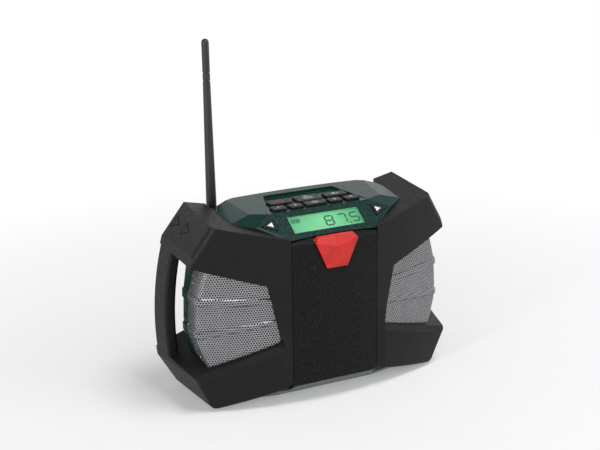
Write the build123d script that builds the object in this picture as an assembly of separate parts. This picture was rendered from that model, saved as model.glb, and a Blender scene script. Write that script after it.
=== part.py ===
from build123d import *
from math import asin, cos, radians, sin, sqrt
import os

# Jobsite radio. Millimetres. X runs to the right, Y to the rear and Z up.
# The part is drawn with the door's side seams at y = 0 and the housing's underside at z = 0.
# save() moves it so that the origin is the middle of the base, on the surface the feet stand on.

# ---- driving dimensions: overall --------------------------------------------------------------
CLEAR = 0.3            # gap between moving pieces and what they pass
PRESS = 0.05           # gap round a piece that is only guided
WALL = 2.6             # wall of the green housing mouldings
FOOT_H = 1.2           # rubber feet below the housing
REAR_Y = 92.0          # rear face of the housing
CORE_TOP = 138.0       # joint between the half shells and the control panel
PART_Y = 47.0          # joint between the front and rear half shells
REACH = 400.0          # size of the blocks that trim by a plane

# ---- front face -------------------------------------------------------------------------------
SEAM_X = 38.8          # half width of the door opening
SEAM_GAP = 0.5         # gap between the door and each side frame
SILL_Z = 17.7          # lower edge of the door
DOOR_H = 123.2         # door height
DOOR_BULGE = 3.5       # how far the door's middle stands in front of its side edges
DOOR_DEPTH = 7.2       # rear rim of the door
DOOR_SKIN = 2.6
FRONT_R = 430.0        # plan radius of the side frames' front
FRONT_ANGLE = 11.2     # plan angle of that front where it meets the door
FRAME_PLATE = 5.0      # thickness of the side frames' front over the grille
CORE_FRONT = 8.8       # front wall of the housing behind the door

# ---- side frames ------------------------------------------------------------------------------
FRAME_FRONT = 18.0     # Y at which the front outline below is stated
FRAME_REAR = 82.0      # rear face of the side frames
TOP_RISE_X = 0.2194    # slope of the top arm outwards
TOP_RISE_Y = 0.0671    # slope of the top arm to the rear
TOP_Z = 142.8          # height of the top arm at the seam
CROWN_X = (99.5, 98.5)       # outer end of the top arm, front and rear
SHOULDER_X = (113.4, 119.0)  # where the end face turns down, front and rear
SHOULDER_Z = (134.0, 135.6)
WAIST_X = (120.5, 129.9)     # widest part of the handle line, front and rear
WAIST_Z = 66.0
LEDGE_X = (117.5, 128.2)     # outer end of the bottom arm's ledge, front and rear
LEDGE_Z = 30.8
HEEL_X = (103.3, 110.5)      # where the side frame meets the base, front and rear
TOE = (59.7, 9.9)            # X and Z of the knee in the bottom arm's lower edge
LEDGE_PROUD = (2.2, 5.0)     # how far the ledge lip stands forward, inside and outside
LIP_LEVELS = (32.0, 52.0, 70.0)  # heights between which that lip swells and fades
CORNER_R = 7.0         # rounded corner between front and end face, top arm
HEEL_R = 3.0           # the same, bottom arm
LEDGE_TURN_R = 4.0     # rounded turn of the outline at the ledge's outer end
HEEL_TURN_R = 6.0      # the same where the outline meets the base
OUTLINE_START_Y = -12.0      # the outline is drawn from here, in front of everything
FRAME_LIMIT = 138.0    # X that no side frame reaches
HANDLE_Y = 60.0        # front face of the handle bar
HANDLE_T = 9.5         # handle bar, side to side
HANDLE_R = 2.5
LEDGE_BEVEL = 3.2
OPENING_R = 5.0        # corner radius of the loudspeaker opening
GROOVE_PLACES = (0.56, 0.87)     # triangular grooves in the end face, front to rear
GROOVE_DROP = 0.52     # and crown to shoulder
GROOVE_R = 7.4
GROOVE_W = 0.9
GROOVE_DEPTH = 0.7

# opening between the arms: a point and two slopes for its upper and lower faces
UPPER_FACE = (103.0, 20.0, 119.7)
UPPER_SLOPE = (0.303, 0.062)
LOWER_FACE = (117.0, 17.2, 30.8)
LOWER_SLOPE = (-0.36, 0.19)
OPENING_TOP = (57.1, 104.8)     # X and Z of its inner corners
OPENING_BOTTOM = (46.6, 55.9)

# ---- housing outline --------------------------------------------------------------------------
SIDE_LINE = ((92.0, -20.0), (97.0, 8.0), (104.4, 35.8), (111.3, 58.0), (112.0, 72.0),
             (110.3, 96.0), (103.0, 120.6), (92.0, 145.0))
SIDE_REAR_Y = 47.5     # where the rear chamfer would meet x = SIDE_LIMIT
SIDE_LIMIT = 118.0
REAR_CORNER_X = 80.0
REAR_PROUD = 1.0       # the rear shell stands out by this beside the grille
CHIN_Z = 17.2          # top of the strip below the door
CHIN_Y = -3.2          # its front edge
CHIN_FLOOR_Y = 21.0    # where its slope meets the base
CHIN_TURN_X = 45.0     # beyond this the slope turns with the front
CHIN_TURN = 0.21

# ---- grille -----------------------------------------------------------------------------------
GRILLE_T = 0.9
GRILLE_LAP = 3.0       # grille hidden behind the frame's edges
RIB_H = 1.3
RIB_INNER_X = 42.0
RIB_OUTER_X = 111.0
RIBS = (((86.4, 92.6), (89.8, 97.0)), ((71.6, 75.5), (61.2, 67.8)))  # Z low, high: inside, outside

# ---- loudspeakers -----------------------------------------------------------------------------
SPEAKER_X = 77.0
SPEAKER_Z = 77.0
SPEAKER_R = 28.0       # flange
CONE_R = 22.0
CONE_DEPTH = 9.0
SPEAKER_DEPTH = 20.0
FLANGE_T = 1.6
BASKET_T = 1.2
MAGNET_R = 15.0
MAGNET_T = 8.0
CAP_R = 8.0
SURROUND_R = 2.0
PAPER_T = 0.6          # thickness of cone, surround and dust cap
CAP_BOW = 1.25         # ball radius of the dust cap, times its own radius
MAGNET_LAP = 2.0       # the magnet stands out round the basket's end
CONE_ROOM = 2.0        # the hole in the housing is wider than the cone by this
BASKET_SLOT = (9.0, 0.45, 0.6)   # width, then length and place as shares of the depth
SPEAKER_SCREW_R = 1.0
SPEAKER_SCREW_OUT = 0.6      # the screws sit this far outside the flange's middle
SPEAKER_HEAD_H = 1.2

# ---- bay and battery --------------------------------------------------------------------------
BAY_W = 62.0
BAY_Z = (27.0, 129.0)
BAY_DEPTH = 46.0
BAY_WALL = 1.8
FLANGE_W = 2.6
GASKET = (1.6, 1.0)    # width and thickness
BATTERY = (52.0, 36.0, 62.0)
BATTERY_GAP = 4.0      # behind the pack
BATTERY_R = 4.0
BAY_FLANGE_T = 1.2     # thickness of the bay's flange
BLADE_X = (-10.0, 0.0, 10.0)
BLADE_T = 0.8
BLADE_H = 14.0
BLADE_L = 12.0         # depth of the pack's slots for them
BLADE_SHORT = 2.0      # the blades stop this far before a slot's end
BLADE_DROP = 10.0      # their top lies this far below the pack's
CARRIER = (5.0, 3.0)   # the blades' carrier stands out this far round them, and its thickness
GRIP_ROWS = 4
GRIP_PITCH = 3.0
GRIP = (1.6, 1.2)      # twice the depth of a grip groove, and its height

# ---- control panel ----------------------------------------------------------------------------
PANEL_FRONT_Y = 3.6
PANEL_NOSE = (38.2, 1.6)
PANEL_SHOULDER = (77.2, 29.8)
PANEL_CORNER = (78.6, 61.0)
PANEL_CHAMFER = ((74.5, 69.5), (58.0, 77.0))
PANEL_BACK_Y = 79.5
PANEL_TAIL = (79.9, 79.5)     # rear corner of the space that the side frames leave for it
PANEL_SIDE_WALL = 1.8
PANEL_R = 1.2          # softened ridges between its facets
PANEL_RIM_DROP = 12.0
PANEL_WALL = 3.0
PANEL_ROOM = 1.0       # the side frames stay clear of the panel from this far below it
TOP_POINT = (0.0, 29.0, 157.5)
TOP_SLOPE = 0.065
DISPLAY_SLOPE = 30.5   # degrees
DISPLAY_POINT = (0.0, 16.0, 150.0)
TURN_POINTS = ((45.0, 28.5, 157.4), (60.1, 34.4, 157.8), (77.2, 29.8, 153.8))
SIDE_POINTS = ((60.1, 34.4, 157.8), (66.0, 78.0, 160.6), (77.2, 29.8, 153.8))
RECESS_Z = 157.4
RECESS_FRONT = (46.5, 26.0)
RECESS_REAR = (32.2, 70.2)
RECESS_FLOOR = 154.5   # underside of the recess
RECESS_R = 3.0
LCD_SIZE = (63.4, 17.8)
LCD_Y = 15.4
LENS_T = 1.6
LENS_SINK = 0.25
MODULE_T = 4.0
MODULE_RIM = (6.0, 3.0)          # the module is wider and taller than its glass by this
DISPLAY_BOARD = (54.0, 20.0)     # half width and height of the board behind the display
SWITCH_R = 2.4

# ---- keys -------------------------------------------------------------------------------------
KEY_RISE = 2.2         # keys stand this far out of the recess
KEY_TRAVEL = 0.8
KEY_FLANGE = 0.7
KEY_FLANGE_T = 1.0
KEY_GAP = 0.2          # between a key's flange and the panel
KEY_R = 1.2
KEY_BEVEL = 0.6
KEY_ROWS = (           # name, centre X, centre Y, width, depth
    ("key_power", -25.6, 51.4, 20.4, 10.4),
    ("key_function", 0.0, 51.4, 22.4, 15.2),
    ("key_mute", 25.6, 51.4, 20.4, 10.4),
    ("key_preset_1", -33.4, 36.3, 12.6, 9.2),
    ("key_preset_2", -18.0, 36.3, 12.0, 9.2),
    ("key_select", 0.0, 36.3, 19.0, 9.2),
    ("key_preset_3", 18.0, 36.3, 12.0, 9.2),
    ("key_preset_4", 33.4, 36.3, 12.6, 9.2),
)
ARROW_X = 48.4         # centre of a tuning button
ARROW_SIZE = 7.8       # its centre to corner
ARROW_OFFSET = 3.0     # up the display slope from the display's centre
ARROW_RISE = 0.9
BOARD_T = 1.6
BOARD_X = 46.0         # half width of the keypad board
BOARD_Y = (29.0, 61.0)
BOARD_Z = 151.6        # its upper face
BOARD_POSTS = ((43.6, 33.0), (43.6, 58.0))
BOARD_HOLE_X = 70.0    # half width of the opening under the control panel
MAIN_X = 56.0          # half width of the main board
MAIN_Y = 68.0
MAIN_Z = (24.0, 120.0)
TUNER_CAN = (6.0, 36.0, 8.0, 34.0, 7.0)    # from the board's left edge and top edge, and its height
HEAT_SINK = (8.0, 40.0, 10.0, 40.0, 2.0)   # X, X, from the board's top edge, and its base's thickness
FIN_COUNT = 6
FIN_T = 2.0
FIN_H = 9.0
CAPACITORS = ((-30, 45, 5), (-16, 45, 5), (-30, 62, 4), (4, 48, 4), (4, 60, 4), (16, 40, 3))  # X, Z, R
CAPACITOR_SHAPE = 2.4  # height by radius

# ---- latch and hinges -------------------------------------------------------------------------
LATCH_OUTLINE = ((15.8, 141.8), (18.9, 137.8), (9.1, 115.5))
LATCH_FRONT = -4.6
LATCH_BACK = 5.2
LATCH_GAP = 0.8
LATCH_PIVOT = (2.0, 138.6)
LATCH_STEP = 1.6
LATCH_TOP_Y = 1.6
LATCH_BOSS = 23.0      # half width of the block in the door that holds the latch
LATCH_TONGUE_X = 6.0
LATCH_TONGUE_Y = 8.2
LATCH_TONGUE_Z = (134.6, 135.9)
TONGUE_ROOM = 3.0      # free height under the tongue in the door's slot
LATCH_NECK = (1.4, 1.0)      # the latch's back steps in here, behind and above its pin
LATCH_PIN_SEAT = 1.5   # solid door beyond each end of the latch's pin
KEEPER_LAP = 2.0       # the keeper is wider than the tongue by this at each end
KEEPER_T = 1.4
SPRING_X = (11.5, 15.5)
SPRING_WIRE = 0.3
SPRING_TURNS = 4
LATCH_PIN_R = 1.0
SPRING_R = LATCH_PIN_R + SPRING_WIRE + 0.02
LATCH_V = 133.0        # lowest point of the V crease in its face
LATCH_V_EDGE = 138.4
HINGE = (-1.0, 19.0)   # Y and Z of the door's pivot
HINGE_PIN_R = 0.7
KNUCKLE_R = 1.4
HINGE_LUG = (5.5, 10.5)
HINGE_PIN = (2.0, 15.0)
HINGE_BARREL = 2.6     # radius of the door's rolled lower edge, about the pivot
HINGE_ARM = 4.2        # the lugs reach back this far, behind the rolled edge
HINGE_WEB = 1.8        # thickness of the lugs' upright part
DOOR_EDGE = 3.0
DOOR_ABOVE = 0.7       # gap between the door's top and the control panel
DOOR_RIB_X = 28.0
DOOR_RIB_T = 2.0
DOOR_RIB_BACK = 2.0    # the ribs stop this far before the door's rear rim
DOOR_RIB_DROP = 15.0   # and this far below its top
DOOR_DIP = (0.3, 2.9)  # its front top edge, below its rear one: at the side, at the latch
RUNNING = 0.05         # radial clearance of a pin in its moving bore

# ---- antenna ----------------------------------------------------------------------------------
ANTENNA = (-71.0, 90.2, 145.5)   # pivot
ANTENNA_TIP_Z = 293.0
ANTENNA_R = (4.4, 3.1)
ANTENNA_NECK = 9.0
ANTENNA_GROOVES = (28.0, 34.6)   # below the tip
KNUCKLE = (5.4, 9.4)             # radius and length
PIVOT_R = 2.2
PIVOT_GAP = 0.2
PIVOT_HEAD = 1.8
PIVOT_HEAD_DROP = 1.0  # its head is smaller than the knuckle by this
PIVOT_SLOT = 0.8
GROOVE_RING = (1.2, 0.5)         # width and depth of the whip's ring grooves
BRACKET_W = 16.0
BRACKET_T = 2.0
BRACKET_BOSS = 1.5     # wall of the bracket's boss round the pivot
BULKHEAD_Y = (76.0, 82.0)
BULKHEAD_H = 12.0      # above the joint with the half shells
CLIP_X = 36.0
CLIP_W = 8.0
CLIP_T = 2.0
CLIP_LIP = 2.0         # the hook's arms rise this far above the whip's middle

# ---- sockets, screws and feet -----------------------------------------------------------------
AUX_X = 40.0
DC_X = 56.0
SOCKET_Z = 40.0
AUX_R = 1.75
AUX_DEPTH = 14.0
DC_R = 3.3
DC_PIN_R = 1.0
DC_DEPTH = 12.0
DC_PIN_DROP = 2.0      # the pin ends this far inside the inlet's mouth
SOCKET_END = 2.0       # closed end of both sockets
SCREW_R = 1.5
HEAD_R = 3.0
HEAD_H = 2.0
HEAD_ROOM = 0.4        # round the case screws' heads
HEAD_SLOT = 0.7
SCREW_L = 12.0
POST_R = 4.0
POST_END = 4.0         # solid post beyond a case screw's end
POST_RIB_T = 2.0
REAR_POST_R = 5.0
BOSS_WALL = 1.0        # round the frame screws' heads
CASE_SEAT_Y = 56.0     # under the heads of the case screws
FRAME_SCREWS = ((32.0, 129.0), (60.0, 129.0), (34.0, 20.0), (60.0, 20.0))   # Y and Z
SEAT_DEPTH = 6.0       # their heads bear this far inside the housing's side
AUX_BODY_R = 4.0
DC_BODY_R = 5.2
VENT_ROWS = 6
VENT_Z = 70.0
VENT_PITCH = 6.0
VENT_H = 2.4
VENT_X = 24.0
CASE_SCREWS = ((-78.0, 12.0), (-78.0, 126.0), (0.0, 12.0), (78.0, 12.0), (78.0, 126.0))
FOOT_SPOTS = ((72.0, 36.0), (72.0, 80.0))
FOOT_R = 8.0

# ---- worked out from the above ----------------------------------------------------------------
DOOR_TOP = SILL_Z + DOOR_H
DOOR_X = SEAM_X - SEAM_GAP / 2
FRAME_X = SEAM_X + SEAM_GAP / 2
FRONT_CX = SEAM_X - FRONT_R * sin(radians(FRONT_ANGLE))
FRONT_CY = FRONT_R * cos(radians(FRONT_ANGLE))
ORIGIN_Y = (LATCH_FRONT + ANTENNA[1] + KNUCKLE[1] / 2 + PIVOT_GAP + PIVOT_HEAD) / 2
BAY_FACE = CORE_FRONT + GRILLE_T
BULKHEAD_TOP = CORE_TOP + BULKHEAD_H
BEYOND = REACH / 8     # how far a cut runs out past the piece
BASE = (Align.CENTER, Align.CENTER, Align.MIN)


# ---- helpers ----------------------------------------------------------------------------------
def save(name, shape):
    """Write one node, moved into the part's own frame."""
    solids = [Pos(0, -ORIGIN_Y, FOOT_H) * solid for solid in shape.solids()]
    whole = solids[0] if len(solids) == 1 else Compound(solids)
    export_step(whole, f"parts/{name}.step")


def prism(points, sweep):
    """A straight-sided block: a flat polygon of 3-D points moved along sweep."""
    sweep = Vector(*sweep)
    return extrude(make_face(Polyline(*points, close=True)), sweep.length, dir=sweep.normalized())


def prism_xz(points, y0, y1):
    return prism([(x, y0, z) for x, z in points], (0, y1 - y0, 0))


def prism_xy(points, z0, z1):
    return prism([(x, y, z0) for x, y in points], (0, 0, z1 - z0))


def prism_yz(points, x0, x1):
    return prism([(x0, y, z) for y, z in points], (x1 - x0, 0, 0))


def block(x, y, z):
    """A box given by its limits along each axis."""
    return Pos(x[0], y[0], z[0]) * Box(x[1] - x[0], y[1] - y[0], z[1] - z[0], align=Align.MIN)


def rod(start, axis, radius, length):
    return Plane(origin=start, z_dir=axis) * extrude(Circle(radius), length)


def beyond(point, normal):
    """Everything on the side of a plane that its normal points to."""
    return Plane(origin=point, z_dir=normal) * Box(REACH, REACH, REACH, align=BASE)


def beyond_three(points, lift=0.0):
    """Everything above the plane through three points, raised by lift along its normal."""
    a, b, c = (Vector(*p) for p in points)
    normal = (b - a).cross(c - a).normalized()
    if normal.Z < 0:
        normal = -normal
    return beyond(a + normal * lift, normal)


def flip(points):
    return [(-p[0],) + tuple(p[1:]) for p in points]


def both_sides(shape):
    return shape + mirror(shape, Plane.YZ)


def blend(pair, y):
    """A value of the frame's outline at y, from its front and rear values."""
    return pair[0] + (pair[1] - pair[0]) * (y - FRAME_FRONT) / (FRAME_REAR - FRAME_FRONT)


def front_y(x, inset=0.0):
    """Y of the side frames' front at x, or of the surface that lies inset behind it."""
    return FRONT_CY - sqrt((FRONT_R - inset) ** 2 - (x - FRONT_CX) ** 2)


def front_arc(x0, x1, inset=0.0, z=0.0):
    xm = (x0 + x1) / 2
    return ThreePointArc(*[(x, front_y(x, inset), z) for x in (x0, xm, x1)])


def top_z(x, y):
    return TOP_Z + TOP_RISE_X * (x - SEAM_X) + TOP_RISE_Y * y


# ---- housing core -----------------------------------------------------------------------------
def core(offset, z_low, z_high, y_low, y_high):
    """The housing's outer form, grown outwards by offset and cut to a range of Z and Y."""
    inset = FRAME_PLATE - offset
    step_x = RIB_INNER_X
    rear = [(SIDE_LIMIT, SIDE_REAR_Y + offset), (REAR_CORNER_X, REAR_Y), (0, REAR_Y)]
    front = front_arc(step_x, SIDE_LIMIT, inset)
    start = (step_x, front_y(step_x, inset))
    run = Polyline((SIDE_LIMIT, front_y(SIDE_LIMIT, inset)), *rear,
                   (0, CORE_FRONT - offset), (step_x, CORE_FRONT - offset), start)
    plan = Pos(0, 0, z_low) * extrude(make_face([front] + list(run.edges())), z_high - z_low)
    side = [(x + offset, z) for x, z in SIDE_LINE]
    side += [(0, SIDE_LINE[-1][1]), (0, SIDE_LINE[0][1])]
    half = plan & prism_xz(side, y_low, y_high)
    return both_sides(half)


def rib_band(inner, outer, trim):
    """The stretch of height that one raised rib covers, seen from the front."""
    low = [(RIB_INNER_X, inner[0] + trim), (RIB_OUTER_X, outer[0] + trim),
           (SIDE_LIMIT, outer[0] + trim)]
    high = [(SIDE_LIMIT, outer[1] - trim), (RIB_OUTER_X, outer[1] - trim),
            (RIB_INNER_X, inner[1] - trim)]
    return both_sides(prism_xz(low + high, 0, REAR_Y))


def ribbed_core(offset, trim, z_low, z_high, y_low, y_high):
    """The core with its two raised ribs."""
    shape = core(offset, z_low, z_high, y_low, y_high)
    proud = core(offset + RIB_H, z_low, z_high, y_low, y_high)
    for inner, outer in RIBS:
        shape += proud & rib_band(inner, outer, trim)
    return shape


def chin_cut(inset=0.0):
    """What lies in front of and below the sloped underside strip."""
    slope = Vector(0, CHIN_Z, CHIN_FLOOR_Y - CHIN_Y).normalized()
    middle = beyond(Vector(0, CHIN_FLOOR_Y, 0) + slope * inset, -slope)
    turn = Vector(-CHIN_TURN * slope.Y, slope.Y, slope.Z).normalized()
    side = beyond(Vector(CHIN_TURN_X, CHIN_FLOOR_Y, 0) + turn * inset, -turn)
    return middle + both_sides(side)


def opening(grow=0.0):
    """The space between the two arms of the right side frame, open to the outside."""
    space = block((0, REACH / 2), (-REACH / 4, REACH / 4), (0, REACH / 2))
    upper = Vector(-UPPER_SLOPE[0], -UPPER_SLOPE[1], 1)
    lower = Vector(LOWER_SLOPE[0], LOWER_SLOPE[1], -1)
    inner = Vector(OPENING_BOTTOM[1] - OPENING_TOP[1], 0, OPENING_TOP[0] - OPENING_BOTTOM[0])
    space -= beyond(Vector(*UPPER_FACE) + upper.normalized() * grow, upper)
    space -= beyond(Vector(*LOWER_FACE) + lower.normalized() * grow, lower)
    edge = Vector(OPENING_TOP[0], 0, OPENING_TOP[1])
    space -= beyond(edge + inner.normalized() * grow, inner)
    corners = space.edges().filter_by(Axis.Y, tolerance=20).sort_by(Axis.X)[:2]
    return fillet(corners, OPENING_R + grow)


# ---- side frames ------------------------------------------------------------------------------
def end_outline(y):
    """Outline of the right side frame seen from the front, at one depth."""
    crown_x = blend(CROWN_X, y)
    inside = 0
    crown = (crown_x, y, top_z(crown_x, y))
    shoulder = (blend(SHOULDER_X, y), y, blend(SHOULDER_Z, y))
    ledge = (blend(LEDGE_X, y), y, LEDGE_Z)
    waist = (blend(WAIST_X, y), y, WAIST_Z)
    heel = (blend(HEEL_X, y), y, 0)
    path = [Line((inside, y, top_z(inside, y)), crown), Line(crown, shoulder),
            ThreePointArc(shoulder, waist, ledge), Line(ledge, heel),
            Line(heel, (TOE[0], y, TOE[1])), Line((TOE[0], y, TOE[1]), (SEAM_X, y, SILL_Z)),
            Line((SEAM_X, y, SILL_Z), (inside, y, SILL_Z)),
            Line((inside, y, SILL_Z), (inside, y, top_z(inside, y)))]
    outline = Wire(path)
    for corner, radius in ((ledge, LEDGE_TURN_R), (heel, HEEL_TURN_R)):
        nearest = outline.vertices().sort_by_distance(corner)[0]
        outline = outline.fillet_2d(radius, [nearest])
    return outline


def lip_y(x, proud):
    """Y of the side frame's front at x, where its lip stands proud inside and outside."""
    share = (x - OPENING_BOTTOM[0]) / (LEDGE_X[0] - OPENING_BOTTOM[0])
    return front_y(x) - proud[0] - (proud[1] - proud[0]) * share


def front_section(z, proud):
    """Plan section behind the right side frame's front face at one height."""
    lip_x, end_x = OPENING_BOTTOM[0], FRAME_LIMIT
    lip, middle, end = [(x, lip_y(x, proud), z) for x in (lip_x, (lip_x + end_x) / 2, end_x)]
    start = (FRAME_X, front_y(FRAME_X), z)
    return Wire([Line(start, lip), ThreePointArc(lip, middle, end),
                 Line(end, (end_x, REAR_Y, z)), Line((end_x, REAR_Y, z), (FRAME_X, REAR_Y, z)),
                 Line((FRAME_X, REAR_Y, z), start)])


def frame_block():
    """The right side frame before anything is cut from it."""
    flat = (0.0, 0.0)
    low, high, fade = LIP_LEVELS
    levels = [(0, flat), (low, LEDGE_PROUD), (high, LEDGE_PROUD), (fade, flat),
              (TOP_Z + BEYOND, flat)]
    sections = [front_section(z, proud) for z, proud in levels]
    lofts = [Solid.make_loft(list(pair), True) for pair in zip(sections, sections[1:])]
    space = lofts[0].fuse(*lofts[1:])
    outer = Solid.make_loft([end_outline(OUTLINE_START_Y), end_outline(FRAME_REAR)], True)
    whole = space & outer
    for low_z, high_z, radius in ((OPENING_TOP[1], REACH, CORNER_R), (0, high, HEEL_R)):
        whole = fillet(corner_edges(whole, low_z, high_z), radius)
    return whole


def corner_edges(shape, low_z, high_z):
    """The upright edges where the front face meets the end face, between two heights."""
    found = []
    for edge in shape.edges():
        middle = edge.center()
        upright = abs((edge % 0.5).Z) > 0.5
        near = abs(middle.Y - front_y(middle.X)) < CORNER_R + LEDGE_PROUD[1]
        if upright and near and middle.X > SPEAKER_X and low_z < middle.Z < high_z:
            found.append(edge)
    return found


def end_spot(share_y, share_z):
    """A point on the end face of the top arm: front to rear, and crown to shoulder."""
    y = FRAME_FRONT + (FRAME_REAR - FRAME_FRONT) * share_y
    crown = Vector(blend(CROWN_X, y), y, top_z(blend(CROWN_X, y), y))
    shoulder = Vector(blend(SHOULDER_X, y), y, blend(SHOULDER_Z, y))
    return crown + (shoulder - crown) * share_z


def triangle_grooves():
    """The triangular grooves in the end face of the top arm."""
    step = 0.05
    cutters = []
    for share in GROOVE_PLACES:
        along = end_spot(share + step, GROOVE_DROP) - end_spot(share - step, GROOVE_DROP)
        down = end_spot(share, GROOVE_DROP + step) - end_spot(share, GROOVE_DROP - step)
        face = Plane(origin=end_spot(share, GROOVE_DROP), x_dir=along, z_dir=down.cross(along))
        ring = RegularPolygon(GROOVE_R, 3, rotation=180)
        ring -= RegularPolygon(GROOVE_R - 2 * GROOVE_W, 3, rotation=180)
        cutters.append(face * extrude(ring, GROOVE_DEPTH, both=True))
    return cutters


def frame_screw_seats():
    """Where each screw's head bears on its boss inside the right wall: X, Y, Z."""
    return [(side_x(z) - SEAT_DEPTH, y, z) for y, z in FRAME_SCREWS]


def seat_bosses(limits):
    """The bosses of both sides that the frame screws pass through, within a solid."""
    bosses = [rod(seat, (1, 0, 0), HEAD_R + BOSS_WALL, SEAT_DEPTH + HEAD_R)
              for seat in frame_screw_seats()]
    return [both_sides(boss) & limits for boss in bosses]


def seat_bores():
    """Room for each frame screw's head and shank, on both sides."""
    bores = []
    for x, y, z in frame_screw_seats():
        bore = rod((x, y, z), (1, 0, 0), SCREW_R, SCREW_L)
        bore += rod((x - HEAD_H - CLEAR, y, z), (1, 0, 0), HEAD_R + CLEAR, HEAD_H + CLEAR)
        bores.append(both_sides(bore))
    return bores


def side_x(z):
    """X of the housing's side at height z."""
    for (x0, z0), (x1, z1) in zip(SIDE_LINE, SIDE_LINE[1:]):
        if z0 <= z <= z1:
            return x0 + (x1 - x0) * (z - z0) / (z1 - z0)
    return SIDE_LINE[-1][0]


def ledge_bevel():
    """What the bevel takes off the curved front edge of the ledge: two flat stretches."""
    start, end = OPENING_BOTTOM[0], LEDGE_X[0]
    middle = (start + end) / 2
    taken = []
    for first, last, reach in ((start, middle, middle), (middle, end, REACH)):
        low = []
        for x in (first, last):
            y = lip_y(x, LEDGE_PROUD)
            low.append(Vector(x, y, ledge_z(x, y) - LEDGE_BEVEL))
        back = low[0] + Vector(0, LEDGE_BEVEL, LEDGE_BEVEL)
        limits = block((first, reach), (-REACH, 3 * LEDGE_BEVEL + low[1].Y), (0, OPENING_BOTTOM[1]))
        taken.append(beyond_three((low[0], low[1], back)) & limits)
    return taken


def ledge_z(x, y):
    """Height of the bottom arm's ledge, the lower face of the opening."""
    rise = LOWER_SLOPE[0] * (x - LOWER_FACE[0]) + LOWER_SLOPE[1] * (y - LOWER_FACE[1])
    return LOWER_FACE[2] + rise


def make_side_frame(envelope):
    whole = frame_block()
    bar = whole - Pos(-HANDLE_T, 0, 0) * whole
    bar &= block((SEAM_X, FRAME_LIMIT), (HANDLE_Y, FRAME_REAR), (LEDGE_Z, SHOULDER_Z[1]))
    frame = whole - opening() - envelope
    inner = [edge for edge in bar.edges() if is_bar_edge(edge)]
    for taken in ledge_bevel():
        frame -= taken
    frame += fillet(inner, HANDLE_R)
    for cutter in triangle_grooves():
        frame -= cutter
    for bore in seat_bores():
        frame -= bore
    return frame


def is_bar_edge(edge):
    """The four long edges of the handle bar."""
    return edge.length > (SHOULDER_Z[0] - LEDGE_Z) / 2


# ---- grilles ----------------------------------------------------------------------------------
def make_grille():
    """The right grille: a thin sheet over the housing's front and side, with two raised ribs."""
    limits = (SIDE_LINE[0][1], SIDE_LINE[-1][1], 0, PART_Y)
    sheet = ribbed_core(0, 0, *limits) - ribbed_core(-GRILLE_T, GRILLE_T, *limits)
    sheet &= opening(GRILLE_LAP)
    return sheet


# ---- housing shells ---------------------------------------------------------------------------
def door_plan(inset=0.0):
    """Plan of the door: a bulged front and straight sides, shrunk by inset."""
    x = DOOR_X - inset
    bulge = ThreePointArc((-x, inset), (0, inset - DOOR_BULGE), (x, inset))
    return make_face([bulge] + list(Polyline((x, inset), (x, CHIN_FLOOR_Y), (-x, CHIN_FLOOR_Y),
                                             (-x, inset)).edges()))


def make_chin():
    """The sloped strip under the door, with the lugs that the door's pins turn in."""
    chin = extrude(door_plan(CLEAR), CHIN_Z)
    inside = Pos(0, 0, WALL) * extrude(door_plan(WALL + CLEAR), CHIN_Z - 2 * WALL)
    chin -= inside - chin_cut(WALL)
    chin -= chin_cut()
    chin -= rod((-DOOR_X, *HINGE), (1, 0, 0), HINGE_BARREL + CLEAR, 2 * DOOR_X)
    y, z = HINGE
    for lug in (HINGE_LUG, [-x for x in HINGE_LUG[::-1]]):
        chin += rod((lug[0], y, z), (1, 0, 0), KNUCKLE_R, lug[1] - lug[0])
        chin += block(lug, (y, y + HINGE_ARM), (z - KNUCKLE_R, z))
        chin += block(lug, (y + HINGE_ARM - HINGE_WEB, y + HINGE_ARM), (CHIN_Z - WALL, z))
    chin -= rod((-DOOR_X, y, z), (1, 0, 0), HINGE_PIN_R + RUNNING, 2 * DOOR_X)
    return chin


def speaker_plane():
    """Frame of the right loudspeaker: origin on its flange's front, Z pointing into the housing."""
    inset = FRAME_PLATE + GRILLE_T + WALL
    angle = asin((SPEAKER_X - FRONT_CX) / (FRONT_R - inset))
    inward = Vector(-sin(angle), cos(angle), 0)
    wall = Vector(SPEAKER_X, front_y(SPEAKER_X, inset), SPEAKER_Z)
    bow = SPEAKER_R ** 2 / (2 * (FRONT_R - inset)) + PRESS
    return Plane(origin=wall + inward * bow, x_dir=(0, 0, 1), z_dir=inward)


def speaker_screw_spots():
    """Screw places on the flange, in the loudspeaker's own frame."""
    radius = (SPEAKER_R + CONE_R) / 2 + SPEAKER_SCREW_OUT
    return [Rot(0, 0, 45 + 90 * turn) * Pos(radius, 0, 0) for turn in range(4)]


def case_posts(y0, y1, radius):
    """One cylinder at each case screw, from y0 to y1."""
    return [rod((x, y0, z), (0, 1, 0), radius, y1 - y0) for x, z in CASE_SCREWS]


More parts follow.
